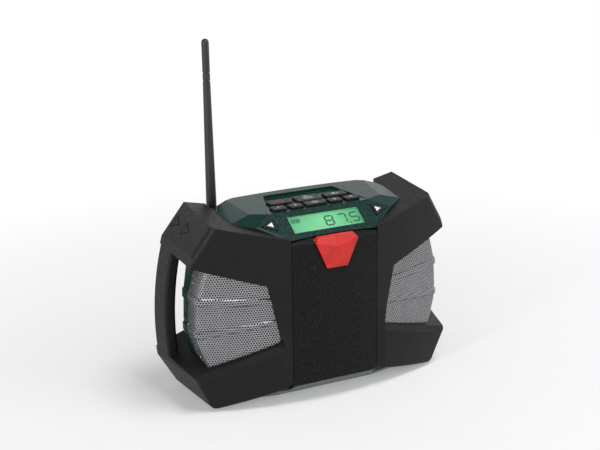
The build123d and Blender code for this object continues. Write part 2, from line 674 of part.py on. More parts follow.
def make_front_shell():
    outer_offset = -GRILLE_T
    inner_offset = -GRILLE_T - WALL
    shell = core(outer_offset, 0, CORE_TOP, 0, PART_Y) - chin_cut()
    shell += make_chin()
    hollow = core(inner_offset, WALL, CORE_TOP - WALL, 0, PART_Y) - chin_cut(WALL)
    shell -= hollow
    shell -= block((-BOARD_HOLE_X, BOARD_HOLE_X), (BAY_FACE + 2 * WALL, PART_Y),
                   (CORE_TOP - WALL, CORE_TOP))
    half_w = BAY_W / 2 + BAY_WALL
    shell -= block((-half_w, half_w), (BAY_FACE, BAY_FACE + 2 * WALL),
                   (BAY_Z[0] - BAY_WALL, BAY_Z[1] + BAY_WALL))
    for place in (speaker_plane(), mirror_plane(speaker_plane())):
        hole = Cylinder(CONE_R + CONE_ROOM, SPEAKER_DEPTH + WALL, align=BASE)
        shell -= place * Pos(0, 0, -SPEAKER_DEPTH) * hole
        for spot in speaker_screw_spots():
            shell -= place * spot * Pos(0, 0, -WALL) * Cylinder(SPEAKER_SCREW_R, WALL, align=BASE)
    posts = case_posts(CASE_SEAT_Y - SCREW_L - POST_END, PART_Y, POST_R)
    for (x, z), post in zip(CASE_SCREWS, posts):
        low, high = (0, z) if z < CORE_TOP / 2 else (z, CORE_TOP)
        rib = block((x - POST_RIB_T / 2, x + POST_RIB_T / 2), (CASE_SEAT_Y - SCREW_L, PART_Y),
                    (low, high))
        shell += (post + rib) & core(outer_offset, 0, CORE_TOP, 0, PART_Y)
    for hole in case_posts(CASE_SEAT_Y - SCREW_L, PART_Y, SCREW_R):
        shell -= hole
    for boss in seat_bosses(core(outer_offset, 0, CORE_TOP, 0, PART_Y)):
        shell += boss
    for bore in seat_bores():
        shell -= bore
    return shell


def make_rear_shell():
    limits = (0, CORE_TOP, PART_Y, REAR_Y)
    outer = ribbed_core(REAR_PROUD, 0, *limits)
    shell = outer - core(REAR_PROUD - WALL, WALL, CORE_TOP - WALL, PART_Y, REAR_Y - WALL)
    shell -= block((-BOARD_HOLE_X, BOARD_HOLE_X), (PART_Y, BULKHEAD_Y[0]),
                   (CORE_TOP - WALL, CORE_TOP))
    bulkhead = block((-REACH, REACH), (PANEL_CORNER[1], BULKHEAD_Y[1]), (CORE_TOP, BULKHEAD_TOP))
    shell += (bulkhead & panel_space(PRESS)) - panel_prism(0, CORE_TOP, BULKHEAD_TOP)
    for post in case_posts(PART_Y, REAR_Y - WALL, REAR_POST_R):
        shell += post & outer
    for bore in case_posts(CASE_SEAT_Y, REAR_Y, HEAD_R + HEAD_ROOM):
        shell -= bore
    for hole in case_posts(PART_Y, CASE_SEAT_Y, SCREW_R):
        shell -= hole
    for x, radius in ((AUX_X, AUX_BODY_R), (DC_X, DC_BODY_R)):
        shell -= rod((x, REAR_Y - WALL, SOCKET_Z), (0, 1, 0), radius, WALL)
    for row in range(VENT_ROWS):
        z = VENT_Z + row * VENT_PITCH
        shell -= block((-VENT_X, VENT_X), (REAR_Y - WALL, REAR_Y), (z, z + VENT_H))
    for boss in seat_bosses(core(REAR_PROUD, 0, CORE_TOP, PART_Y, REAR_Y)):
        shell += boss
    for bore in seat_bores():
        shell -= bore
    return shell


def panel_space(inset=0.0):
    """The space between the side frames that the panel and the bulkhead behind it fill."""
    right = [(x - inset, y) for x, y in (PANEL_NOSE, PANEL_SHOULDER, PANEL_TAIL)]
    right.append((PANEL_TAIL[0] - inset, REAR_Y))
    left = [(-x, y) for x, y in right[::-1]]
    return prism_xy(right + left, CORE_TOP - PANEL_ROOM, REACH / 2)


def mirror_plane(place):
    """The same local frame on the left side."""
    return Plane(origin=(-place.origin.X, place.origin.Y, place.origin.Z),
                 x_dir=(-place.x_dir.X, place.x_dir.Y, place.x_dir.Z),
                 z_dir=(-place.z_dir.X, place.z_dir.Y, place.z_dir.Z))


# ---- control panel ----------------------------------------------------------------------------
def panel_prism(inset, z0, z1):
    """The control panel's plan, shrunk by inset, as a straight block."""
    right = [(LATCH_OUTLINE[1][0], PANEL_FRONT_Y), PANEL_NOSE, PANEL_SHOULDER, PANEL_CORNER,
             PANEL_CHAMFER[0], PANEL_CHAMFER[1]]
    left = [(-x, y) for x, y in right[::-1]]
    back = ThreePointArc(right[-1], (0, PANEL_BACK_Y), left[0])
    plan = make_face(list(Polyline(*left, *right).edges()) + [back])
    if inset:
        plan = offset(plan, -inset, kind=Kind.INTERSECTION)
    return Pos(0, 0, z0) * extrude(plan, z1 - z0)


def display_normal():
    angle = radians(DISPLAY_SLOPE)
    return Vector(0, -sin(angle), cos(angle))


def display_plane(x=0.0, up=0.0, lift=0.0):
    """Frame on the display facet: X across, Y up the slope, Z outwards."""
    point, normal = Vector(*DISPLAY_POINT), display_normal()
    y = LCD_Y - point.Y
    rise = Vector(0, cos(radians(DISPLAY_SLOPE)), sin(radians(DISPLAY_SLOPE)))
    origin = point + rise * (y / rise.Y + up) + Vector(x, 0, 0) + normal * lift
    return Plane(origin=origin, x_dir=(1, 0, 0), z_dir=normal)


def panel_block(inset, drop):
    """The control panel's faceted form, shrunk by inset in plan and by drop from above."""
    form = panel_prism(inset, CORE_TOP, CORE_TOP + BEYOND)
    top_normal = Vector(0, -TOP_SLOPE, 1).normalized()
    form -= beyond(Vector(*TOP_POINT) - top_normal * drop, top_normal)
    form -= beyond(Vector(*DISPLAY_POINT) - display_normal() * drop, display_normal())
    for points in (TURN_POINTS, SIDE_POINTS):
        form -= beyond_three(points, -drop)
        form -= beyond_three(flip(points), -drop)
    return form


def key_plan(width, depth, grow=0.0):
    return RectangleRounded(width + 2 * grow, depth + 2 * grow, KEY_R + grow)


def arrow_plan(grow=0.0):
    """A tuning button's triangle, apex outwards, grown by a clearance."""
    return RegularPolygon(ARROW_SIZE + 2 * grow, 3)


def arrow_planes():
    """The two tuning buttons' frames: right, and left turned to point outwards."""
    right = display_plane(ARROW_X, ARROW_OFFSET)
    left = display_plane(-ARROW_X, ARROW_OFFSET)
    return {"arrow_right": right, "arrow_left": left * Rot(0, 0, 180)}


def make_control_panel():
    panel = panel_block(0, 0)
    rims = [edge for edge in panel.edges() if edge.center().Z > TOP_POINT[2] - PANEL_RIM_DROP]
    panel = fillet(rims, PANEL_R)
    cavity = panel_block(PANEL_SIDE_WALL, PANEL_WALL)
    cavity -= block((-REACH, REACH), (-REACH, REACH), (RECESS_FLOOR, RECESS_Z + BEYOND))
    panel -= cavity
    front, rear = RECESS_FRONT, RECESS_REAR
    sink = [(-front[0], front[1]), front, rear, (-rear[0], rear[1])]
    recess = prism_xy(sink, RECESS_Z, RECESS_Z + BEYOND)
    corners = recess.edges().filter_by(Axis.Z).sort_by(Axis.Y)[-2:]
    panel -= fillet(corners, RECESS_R)
    for _, x, y, width, depth in KEY_ROWS:
        panel -= Pos(x, y, CORE_TOP) * extrude(key_plan(width, depth, CLEAR), BEYOND)
    for place in arrow_planes().values():
        panel -= place * extrude(arrow_plan(CLEAR), 2 * PANEL_WALL, both=True)
    window = Rectangle(LCD_SIZE[0] + 2 * PRESS, LCD_SIZE[1] + 2 * PRESS)
    panel -= display_plane() * extrude(window, 2 * PANEL_WALL, both=True)
    panel -= block((-SEAM_X, SEAM_X), (0, DOOR_DEPTH + CLEAR), (CORE_TOP, DOOR_TOP + DOOR_ABOVE))
    for x, y in BOARD_POSTS:
        for side in (x, -x):
            post = Pos(side, y, BOARD_Z) * Cylinder(POST_R / 2, RECESS_FLOOR - BOARD_Z, align=BASE)
            panel += post
    return panel


def make_key(width, depth):
    """One rubber key about its own centre, with the flange that keeps it in."""
    rise = RECESS_Z + KEY_RISE - RECESS_FLOOR
    cap = extrude(key_plan(width, depth), rise + KEY_FLANGE_T + KEY_GAP)
    top = cap.faces().sort_by(Axis.Z)[-1]
    cap = chamfer(top.edges(), KEY_BEVEL)
    flange = extrude(key_plan(width, depth, KEY_FLANGE), KEY_FLANGE_T)
    return Pos(0, 0, RECESS_FLOOR - KEY_GAP - KEY_FLANGE_T) * (cap + flange)


def make_arrow(place):
    """One triangular tuning button."""
    cap = extrude(arrow_plan(), PANEL_WALL + ARROW_RISE + KEY_FLANGE_T + KEY_GAP)
    cap = fillet(cap.edges().filter_by(Axis.Z), KEY_R)
    cap = chamfer(cap.faces().sort_by(Axis.Z)[-1].edges(), KEY_BEVEL)
    flange = extrude(arrow_plan(KEY_FLANGE / 2), KEY_FLANGE_T)
    return place * Pos(0, 0, -PANEL_WALL - KEY_GAP - KEY_FLANGE_T) * (cap + flange)


def make_lens():
    return display_plane(lift=-LENS_SINK) * Pos(0, 0, -LENS_T) * Box(*LCD_SIZE, LENS_T, align=BASE)


def make_display_module():
    """The display glass under the lens, on its backlight and board."""
    depth = PANEL_WALL - LENS_SINK - LENS_T
    glass = Box(LCD_SIZE[0] - 2 * PRESS, LCD_SIZE[1] - 2 * PRESS, depth, align=BASE)
    width, height = LCD_SIZE[0] + MODULE_RIM[0], LCD_SIZE[1] + MODULE_RIM[1]
    back = Pos(0, 0, -MODULE_T) * Box(width, height, MODULE_T, align=BASE)
    return display_plane(lift=-PANEL_WALL) * (glass + back)


def make_display_board():
    """The circuit board behind the display, with the two tuning switches."""
    under = -PANEL_WALL - MODULE_T
    width, height = 2 * DISPLAY_BOARD[0], DISPLAY_BOARD[1]
    board = display_plane(lift=under) * Pos(0, 0, -BOARD_T) * Box(width, height, BOARD_T, align=BASE)
    tall = -PANEL_WALL - KEY_GAP - KEY_FLANGE_T - KEY_TRAVEL - CLEAR - under
    for place in arrow_planes().values():
        board += place * Pos(0, 0, under) * Cylinder(SWITCH_R, tall, align=BASE)
    return board & panel_prism(PANEL_SIDE_WALL + CLEAR, CORE_TOP + CLEAR, TOP_POINT[2])


def make_keypad_board():
    board = block((-BOARD_X, BOARD_X), BOARD_Y, (BOARD_Z - BOARD_T, BOARD_Z))
    for _, x, y, _, _ in KEY_ROWS:
        height = RECESS_FLOOR - KEY_GAP - KEY_FLANGE_T - KEY_TRAVEL - CLEAR - BOARD_Z
        board += Pos(x, y, BOARD_Z) * Cylinder(SWITCH_R, height, align=BASE)
    return board


# ---- door and latch ---------------------------------------------------------------------------
def latch_face(grow=0.0):
    right = [(x, z) for x, z in LATCH_OUTLINE]
    face = make_face(Polyline(*right, *[(-x, z) for x, z in right[::-1]], close=True))
    return offset(face, grow, kind=Kind.INTERSECTION) if grow else face


def through_y(sketch, y0, y1):
    """A sketch drawn in X and Z, extruded along Y."""
    place = Plane(origin=(0, y1, 0), x_dir=(1, 0, 0), z_dir=(0, -1, 0))
    return place * extrude(sketch, y1 - y0)


def make_door():
    span = DOOR_TOP - SILL_Z
    full = block((-DOOR_X, DOOR_X), (-REACH, DOOR_DEPTH), (0, REACH))
    door = (Pos(0, 0, SILL_Z) * extrude(door_plan(), span)) & full
    pocket = Pos(0, 0, SILL_Z + DOOR_EDGE) * extrude(door_plan(DOOR_SKIN), span - 3 * DOOR_EDGE)
    boss = block((-LATCH_BOSS, LATCH_BOSS), (-REACH, DOOR_DEPTH),
                 (LATCH_OUTLINE[2][1] - 2 * DOOR_EDGE, REACH))
    door -= pocket - boss
    for x in (-DOOR_RIB_X, DOOR_RIB_X):
        rib = block((x - DOOR_RIB_T / 2, x + DOOR_RIB_T / 2),
                    (DOOR_SKIN - DOOR_BULGE, DOOR_DEPTH - DOOR_RIB_BACK),
                    (SILL_Z, DOOR_TOP - DOOR_RIB_DROP))
        door += rib & (Pos(0, 0, SILL_Z) * extrude(door_plan(DOOR_SKIN / 2), span))
    knee = LATCH_OUTLINE[1][0]
    dip = ((SEAM_X, 0, DOOR_TOP - DOOR_DIP[0]), (knee, -DOOR_BULGE, DOOR_TOP - DOOR_DIP[1]),
           (knee, LATCH_TOP_Y, DOOR_TOP))
    door -= beyond_three(dip) + beyond_three(flip(dip))
    door -= through_y(latch_face(LATCH_GAP), -REACH / 4, LATCH_BACK + CLEAR)
    door -= block((-LATCH_TONGUE_X - CLEAR, LATCH_TONGUE_X + CLEAR), (LATCH_BACK, DOOR_DEPTH),
                  (LATCH_TONGUE_Z[0] - TONGUE_ROOM, LATCH_TONGUE_Z[1] + CLEAR))
    door -= make_latch_pin()
    door += rod((-DOOR_X, *HINGE), (1, 0, 0), HINGE_BARREL, 2 * DOOR_X) & extrude(door_plan(), span)
    y, z = HINGE
    for side, pin in zip((1, -1), hinge_pins()):
        gap = sorted((side * (HINGE_LUG[0] - CLEAR), side * (HINGE_LUG[1] + CLEAR)))
        door -= block(gap, (y - KNUCKLE_R - CLEAR, y + HINGE_ARM + CLEAR),
                      (0, z + KNUCKLE_R + CLEAR))
        door -= pin
    return door


def hinge_pins():
    """The right and the left hinge pin."""
    start, end = HINGE_PIN
    return [rod((side * start, *HINGE), (side, 0, 0), HINGE_PIN_R, end - start)
            for side in (1, -1)]


def make_hinge_pins():
    return Compound(children=hinge_pins())


def make_latch():
    top, bottom = LATCH_OUTLINE[0][1], LATCH_OUTLINE[2][1]
    y_pin, z_pin = LATCH_PIVOT
    neck_y, neck_z = y_pin + LATCH_NECK[0], z_pin + LATCH_NECK[1]
    profile = [(LATCH_FRONT, bottom), (LATCH_BACK, bottom), (LATCH_BACK, z_pin - LATCH_STEP),
               (neck_y, z_pin - LATCH_STEP), (neck_y, neck_z), (y_pin, top), (LATCH_FRONT, top)]
    latch = through_y(latch_face(), LATCH_FRONT, LATCH_BACK)
    latch &= prism_yz(profile, -SEAM_X, SEAM_X)
    tongue = block((-LATCH_TONGUE_X, LATCH_TONGUE_X), (0, LATCH_TONGUE_Y), LATCH_TONGUE_Z)
    latch += tongue
    crease = ((0, LATCH_FRONT, LATCH_V), (LATCH_OUTLINE[1][0], LATCH_FRONT, LATCH_V_EDGE),
              (0, LATCH_TOP_Y, top))
    bevel = beyond_three(crease) & block((0, REACH), (-REACH, REACH), (0, REACH))
    latch -= both_sides(bevel)
    latch -= rod((-SEAM_X, y_pin, z_pin), (1, 0, 0), LATCH_PIN_R + RUNNING, 2 * SEAM_X)
    latch -= rod((SPRING_X[0], y_pin, z_pin), (1, 0, 0), SPRING_R + 2 * SPRING_WIRE,
                 SPRING_X[1] - SPRING_X[0])
    return latch


def make_latch_pin():
    end = LATCH_BOSS - LATCH_PIN_SEAT
    return rod((-end, *LATCH_PIVOT), (1, 0, 0), LATCH_PIN_R, 2 * end)


def make_latch_spring():
    """A torsion spring round the latch pin."""
    length = SPRING_X[1] - SPRING_X[0] - 4 * SPRING_WIRE
    coil = Helix(pitch=length / SPRING_TURNS, height=length, radius=SPRING_R)
    wire = sweep(Plane(origin=coil @ 0, z_dir=coil % 0) * Circle(SPRING_WIRE), path=coil,
                 is_frenet=True)
    start = SPRING_X[0] + 2 * SPRING_WIRE
    return Pos(start, *LATCH_PIVOT) * Rot(0, 90, 0) * wire


def make_keeper():
    """The steel plate that the latch's tongue catches under."""
    half_w = LATCH_TONGUE_X + KEEPER_LAP
    return block((-half_w, half_w), (BAY_FACE - KEEPER_T, BAY_FACE),
                 (LATCH_TONGUE_Z[1] + CLEAR, CORE_TOP - 2 * PRESS))


# ---- bay --------------------------------------------------------------------------------------
def make_bay_tub():
    half_w = BAY_W / 2
    back = BAY_FACE + BAY_DEPTH
    low, high = BAY_Z
    rim = FLANGE_W + BAY_WALL
    tub = block((-half_w - BAY_WALL, half_w + BAY_WALL), (BAY_FACE, back + BAY_WALL),
                (low - BAY_WALL, high + BAY_WALL))
    tub += block((-half_w - rim, half_w + rim), (BAY_FACE - BAY_FLANGE_T, BAY_FACE),
                 (low - rim, high + rim))
    tub -= block((-half_w, half_w), (BAY_FACE - BAY_FLANGE_T, back), (low, high))
    for x in BLADE_X:
        tub -= block((x - BLADE_T / 2, x + BLADE_T / 2), (back, back + BAY_WALL), blade_z())
    return tub


def blade_z():
    top = BAY_Z[0] + BATTERY[2] - BLADE_DROP
    return (top - BLADE_H, top)


def make_gasket():
    half_w = BAY_W / 2 + FLANGE_W + BAY_WALL
    low, high = BAY_Z[0] - FLANGE_W - BAY_WALL, BAY_Z[1] + FLANGE_W + BAY_WALL
    width, thick = GASKET
    y = (BAY_FACE - BAY_FLANGE_T - thick, BAY_FACE - BAY_FLANGE_T)
    ring = block((-half_w, half_w), y, (low, high))
    return ring - block((-half_w + width, half_w - width), y, (low + width, high - width))


def make_battery():
    """A slide-in pack standing on the bay's floor, with grips and contact slots."""
    width, depth, height = BATTERY
    rear = BAY_FACE + BAY_DEPTH - BATTERY_GAP
    z0 = BAY_Z[0]
    pack = block((-width / 2, width / 2), (rear - depth, rear), (z0, z0 + height))
    pack = fillet(pack.edges().filter_by(Axis.Z), BATTERY_R)
    for x in BLADE_X:
        slot = BLADE_T / 2 + CLEAR
        pack -= block((x - slot, x + slot), (rear - BLADE_L, rear),
                      (blade_z()[0] - CLEAR, z0 + height))
    for side in (-1, 1):
        for row in range(GRIP_ROWS):
            z = z0 + height / 2 + row * GRIP_PITCH
            pack -= Pos(side * width / 2, rear - depth / 2, z) * Box(GRIP[0], depth / 2, GRIP[1])
    return pack


def make_contacts():
    """The three contact blades, from the pack's slots back through the bay's rear wall."""
    back = BAY_FACE + BAY_DEPTH
    low, high = blade_z()
    y = (back - BLADE_L + BLADE_SHORT, back + BAY_WALL)
    return Compound(children=[block((x - BLADE_T / 2, x + BLADE_T / 2), y, (low, high))
                              for x in BLADE_X])


def make_contact_carrier():
    back = BAY_FACE + BAY_DEPTH + BAY_WALL
    low, high = blade_z()
    rim, thick = CARRIER
    return block((BLADE_X[0] - rim, BLADE_X[-1] + rim), (back, back + thick),
                 (low - thick, high + thick))


# ---- loudspeakers -----------------------------------------------------------------------------
def cone_ring(r_wide, r_narrow, depth, thick):
    """A thin cone, wide end at z = 0."""
    outer = Cone(r_wide, r_narrow, depth, align=BASE)
    inner = Cone(r_wide - thick, r_narrow - thick, depth, align=BASE)
    return outer - inner


def make_basket():
    ring = Cylinder(SPEAKER_R, FLANGE_T, align=BASE) - Cylinder(CONE_R, FLANGE_T, align=BASE)
    depth = SPEAKER_DEPTH - FLANGE_T
    frame = Pos(0, 0, FLANGE_T) * cone_ring(CONE_R + BASKET_T, MAGNET_R, depth, BASKET_T)
    slot_w, slot_share, slot_place = BASKET_SLOT
    slot = Box(2 * SPEAKER_R, slot_w, depth * slot_share)
    for turn in (0, 60, 120):
        frame -= Rot(0, 0, turn) * Pos(0, 0, SPEAKER_DEPTH * slot_place) * slot
    basket = ring + frame + Pos(0, 0, SPEAKER_DEPTH) * (
        Cylinder(MAGNET_R, FLANGE_T, align=BASE) - Cylinder(CAP_R, FLANGE_T, align=BASE))
    for spot in speaker_screw_spots():
        basket -= spot * Cylinder(SPEAKER_SCREW_R, FLANGE_T, align=BASE)
    return basket


def make_surround():
    roll = Torus(CONE_R, SURROUND_R) - Torus(CONE_R, SURROUND_R - PAPER_T)
    return roll - Cylinder(SPEAKER_R, 2 * SURROUND_R, align=BASE)


def make_cone():
    return cone_ring(CONE_R - SURROUND_R, CAP_R, CONE_DEPTH, PAPER_T)


def make_dust_cap():
    ball_r = CAP_R * CAP_BOW
    rim = CAP_R - PAPER_T - PRESS
    drop = sqrt(ball_r ** 2 - rim ** 2)
    ball = Pos(0, 0, CONE_DEPTH + drop) * (Sphere(ball_r) - Sphere(ball_r - PAPER_T))
    return ball & Pos(0, 0, CONE_DEPTH - ball_r) * Cylinder(SPEAKER_R, ball_r, align=BASE)


def make_magnet():
    start = SPEAKER_DEPTH + FLANGE_T
    return Pos(0, 0, start) * Cylinder(MAGNET_R + MAGNET_LAP, MAGNET_T, align=BASE)


def make_speaker_screws():
    parts = []
    for place in (speaker_plane(), mirror_plane(speaker_plane())):
        for spot in speaker_screw_spots():
            shank = Pos(0, 0, -WALL) * Cylinder(SPEAKER_SCREW_R, WALL + FLANGE_T, align=BASE)
            head = Pos(0, 0, FLANGE_T) * Cylinder(2 * SPEAKER_SCREW_R, SPEAKER_HEAD_H, align=BASE)
            parts.append(place * spot * (shank + head))
    return Compound(children=parts)


# ---- electronics ------------------------------------------------------------------------------
def make_main_board():
    return block((-MAIN_X, MAIN_X), (MAIN_Y, MAIN_Y + BOARD_T), MAIN_Z)


def make_tuner_can():
    left, right, high, low, tall = TUNER_CAN
    y0 = MAIN_Y + BOARD_T
    return block((left - MAIN_X, right - MAIN_X), (y0, y0 + tall),
                 (MAIN_Z[1] - low, MAIN_Z[1] - high))


def make_heat_sink():
    left, right, high, low, thick = HEAT_SINK
    y0 = MAIN_Y + BOARD_T
    z = (MAIN_Z[1] - low, MAIN_Z[1] - high)
    sink = block((left, right), (y0, y0 + thick), z)
    for fin in range(FIN_COUNT):
        x = left + fin * (right - left - FIN_T) / (FIN_COUNT - 1)
        sink += block((x, x + FIN_T), (y0, y0 + FIN_H), z)
    return sink


def make_capacitors():
    y0 = MAIN_Y + BOARD_T
    return Compound(children=[rod((x, y0, z), (0, 1, 0), radius, CAPACITOR_SHAPE * radius)
                              for x, z, radius in CAPACITORS])


def socket_rod(x, radius, depth, length):
    """A round bar along Y whose inner end lies depth behind the housing's rear face."""
    return rod((x, REAR_Y - depth, SOCKET_Z), (0, 1, 0), radius, length)


def make_aux_socket():
    body = socket_rod(AUX_X, AUX_BODY_R, AUX_DEPTH + SOCKET_END, AUX_DEPTH + SOCKET_END)
    return body - socket_rod(AUX_X, AUX_R + PRESS, AUX_DEPTH, AUX_DEPTH)


def make_dc_inlet():
    body = socket_rod(DC_X, DC_BODY_R, DC_DEPTH + SOCKET_END, DC_DEPTH + SOCKET_END)
    body -= socket_rod(DC_X, DC_R, DC_DEPTH, DC_DEPTH)
    return body + socket_rod(DC_X, DC_PIN_R, DC_DEPTH, DC_DEPTH - DC_PIN_DROP)


# ---- antenna ----------------------------------------------------------------------------------
def make_bracket():
    x, _, z = ANTENNA
    plate = block((x - BRACKET_W / 2, x + BRACKET_W / 2),
                  (BULKHEAD_Y[1], BULKHEAD_Y[1] + BRACKET_T), (CORE_TOP, BULKHEAD_TOP))
    boss = rod((x, BULKHEAD_Y[1] + BRACKET_T, z), (0, 1, 0), PIVOT_R + BRACKET_BOSS,
               pivot_gap_y() - CLEAR - BULKHEAD_Y[1] - BRACKET_T)
    return plate + boss - rod((x, BULKHEAD_Y[1], z), (0, 1, 0), PIVOT_R, REAR_Y)


def pivot_gap_y():
    """Front face of the antenna knuckle."""
    return ANTENNA[1] - KNUCKLE[1] / 2


def make_pivot():
    x, _, z = ANTENNA
    rear = ANTENNA[1] + KNUCKLE[1] / 2 + PIVOT_GAP
    pin = rod((x, BULKHEAD_Y[1], z), (0, 1, 0), PIVOT_R, rear - BULKHEAD_Y[1])
    head = rod((x, rear, z), (0, 1, 0), KNUCKLE[0] - PIVOT_HEAD_DROP, PIVOT_HEAD)
    return pin + head - Pos(x, rear + PIVOT_HEAD, z) * Box(2 * PIVOT_R, PIVOT_HEAD, PIVOT_SLOT)


def make_knuckle():
    x, y, z = ANTENNA
    barrel = rod((x, pivot_gap_y(), z), (0, 1, 0), KNUCKLE[0], KNUCKLE[1])
    neck = Pos(x, y, z) * Cylinder(ANTENNA_R[0], ANTENNA_NECK, align=BASE)
    return barrel + neck - rod((x, pivot_gap_y(), z), (0, 1, 0), PIVOT_R + RUNNING, KNUCKLE[1])


def make_antenna():
    """The rubber whip: a long taper with two ring grooves and a rounded tip."""
    x, y, z = ANTENNA
    base = z + ANTENNA_NECK
    wide, slim = ANTENNA_R
    length = ANTENNA_TIP_Z - base
    cap = slim

    def radius(height):
        return wide + (slim - wide) * min(1.0, height / (length - ANTENNA_GROOVES[1]))

    points = [(0, 0), (wide, 0)]
    for drop in sorted(ANTENNA_GROOVES, reverse=True):
        low = length - drop - GROOVE_RING[0] / 2
        outer = radius(low)
        inner = outer - GROOVE_RING[1]
        points += [(outer, low), (inner, low), (inner, low + GROOVE_RING[0]),
                   (outer, low + GROOVE_RING[0])]
    points.append((slim, length - cap))
    outline = list(Polyline(*points).edges())
    bow = cap * sin(radians(45))
    tip = ThreePointArc((slim, length - cap), (bow, length - cap + bow), (0, length))
    outline += [tip, Line((0, length), (0, 0))]
    return Pos(x, y, base) * revolve(Plane.XZ * make_face(outline), Axis.Z)


def make_clip():
    """A hook at the rear that the folded antenna drops into."""
    y, z = ANTENNA[1], ANTENNA[2]
    reach = ANTENNA_R[0] + CLEAR
    clip = block((CLIP_X - CLIP_W / 2, CLIP_X + CLIP_W / 2),
                 (BULKHEAD_Y[1], y + reach + CLIP_T), (CORE_TOP, z + CLIP_LIP))
    return clip - block((CLIP_X - CLIP_W, CLIP_X + CLIP_W), (BULKHEAD_Y[1] + CLIP_T, y + reach),
                        (z - reach, z + BEYOND))


# ---- fasteners and feet -----------------------------------------------------------------------
def screw(seat, axis, length):
    """A pan-head screw: its head's underside at seat, its shank along axis."""
    place = Plane(origin=seat, z_dir=axis)
    head = Pos(0, 0, -HEAD_H) * Cylinder(HEAD_R, HEAD_H, align=BASE)
    head = fillet(head.faces().sort_by(Axis.Z)[0].edges(), HEAD_H / 3)
    for turn in (0, 90):
        head -= Rot(0, 0, turn) * Pos(0, 0, -HEAD_H) * Box(HEAD_R, HEAD_SLOT, HEAD_H)
    return place * (head + Cylinder(SCREW_R, length, align=BASE))


def make_case_screws():
    return Compound(children=[screw((x, CASE_SEAT_Y, z), (0, -1, 0), SCREW_L) for x, z in CASE_SCREWS])


def make_frame_screws():
    right = [screw((x, y, z), (1, 0, 0), SCREW_L) for x, y, z in frame_screw_seats()]
    return Compound(children=right + [mirror(part, Plane.YZ) for part in right])


def make_feet():
    spots = [(x * side, y) for x, y in FOOT_SPOTS for side in (1, -1)]
    pads = []
    for x, y in spots:
        pad = Pos(x, y, -FOOT_H) * Cylinder(FOOT_R, FOOT_H, align=BASE)
        pads.append(chamfer(pad.faces().sort_by(Axis.Z)[0].edges(), FOOT_H / 3))
    return Compound(children=pads)


def main():
    os.makedirs("parts", exist_ok=True)
    below = SIDE_LINE[0][1]
    front = ribbed_core(0, 0, below, CORE_TOP, 0, PART_Y)
    rear = ribbed_core(REAR_PROUD, 0, below, CORE_TOP, PART_Y, REAR_Y)
    frame = make_side_frame(front + rear + panel_space())
    grille = make_grille()
    for name, shape in (("side_frame", frame), ("grille", grille)):
        save(f"{name}_right", shape)
        save(f"{name}_left", mirror(shape, Plane.YZ))
    save("front_shell", make_front_shell())
    save("rear_shell", make_rear_shell())
    save("control_panel", make_control_panel())
    for name, x, y, width, depth in KEY_ROWS:
        save(name, Pos(x, y, 0) * make_key(width, depth))
    for name, place in arrow_planes().items():
        save(name, make_arrow(place))
    for side, place in (("right", speaker_plane()), ("left", mirror_plane(speaker_plane()))):
        for name, maker in (("speaker_basket", make_basket), ("speaker_surround", make_surround),
                            ("speaker_cone", make_cone), ("speaker_dust_cap", make_dust_cap),
                            ("speaker_magnet", make_magnet)):
            save(f"{name}_{side}", place * maker())
    single = (("display_lens", make_lens), ("display_module", make_display_module),
              ("display_board", make_display_board),
              ("keypad_board", make_keypad_board), ("main_board", make_main_board),
              ("tuner_can", make_tuner_can), ("amplifier_heat_sink", make_heat_sink),
              ("board_capacitors", make_capacitors), ("bay_tub", make_bay_tub),
              ("battery_pack", make_battery), ("battery_contacts", make_contacts),
              ("contact_carrier", make_contact_carrier), ("door", make_door),
              ("door_gasket", make_gasket), ("door_hinge_pins", make_hinge_pins),
              ("door_latch", make_latch), ("latch_pin", make_latch_pin),
              ("latch_spring", make_latch_spring), ("latch_keeper", make_keeper),
              ("antenna_bracket", make_bracket), ("antenna_pivot", make_pivot),
              ("antenna_knuckle", make_knuckle), ("antenna_whip", make_antenna),
              ("antenna_clip", make_clip), ("aux_socket", make_aux_socket),
              ("dc_inlet", make_dc_inlet), ("speaker_screws", make_speaker_screws),
              ("case_screws", make_case_screws), ("frame_screws", make_frame_screws),
              ("rubber_feet", make_feet))
    for name, maker in single:
        save(name, maker())


if __name__ == "__main__":
    main()
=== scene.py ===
import math

import bmesh
import bpy
from mathutils import Matrix, Vector
from mathutils.geometry import delaunay_2d_cdt


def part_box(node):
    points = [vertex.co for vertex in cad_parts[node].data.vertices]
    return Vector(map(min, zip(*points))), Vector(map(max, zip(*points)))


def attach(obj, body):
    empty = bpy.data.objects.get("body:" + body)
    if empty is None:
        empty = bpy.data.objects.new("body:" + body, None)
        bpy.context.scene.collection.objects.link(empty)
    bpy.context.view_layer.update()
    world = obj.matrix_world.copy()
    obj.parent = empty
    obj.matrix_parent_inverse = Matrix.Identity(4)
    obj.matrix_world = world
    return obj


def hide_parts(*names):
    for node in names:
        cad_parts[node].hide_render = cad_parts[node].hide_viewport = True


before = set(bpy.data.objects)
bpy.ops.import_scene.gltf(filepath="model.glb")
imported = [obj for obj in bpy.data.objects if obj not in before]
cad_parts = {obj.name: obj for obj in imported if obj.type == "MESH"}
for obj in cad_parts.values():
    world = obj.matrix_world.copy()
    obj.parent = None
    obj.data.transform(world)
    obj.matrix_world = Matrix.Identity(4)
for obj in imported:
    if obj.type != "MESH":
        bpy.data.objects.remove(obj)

# Looks of the jobsite radio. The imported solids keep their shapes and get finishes. The perforated
# grilles, the figures in the display and the prints on the keys are built here. Metres, Z up.

MM = 0.001

# ---- camera -----------------------------------------------------------------------------------
CAMERA_AT = (-0.4147, -0.86475, 0.4483)
CAMERA_HEADING = 25.112        # degrees to the right of +Y
CAMERA_DIP = 17.940            # degrees below level
CAMERA_ROLL = -0.908           # degrees
FOCAL_LENGTH = 72.0            # on a sensor 36 mm wide
SENSOR = 36.0

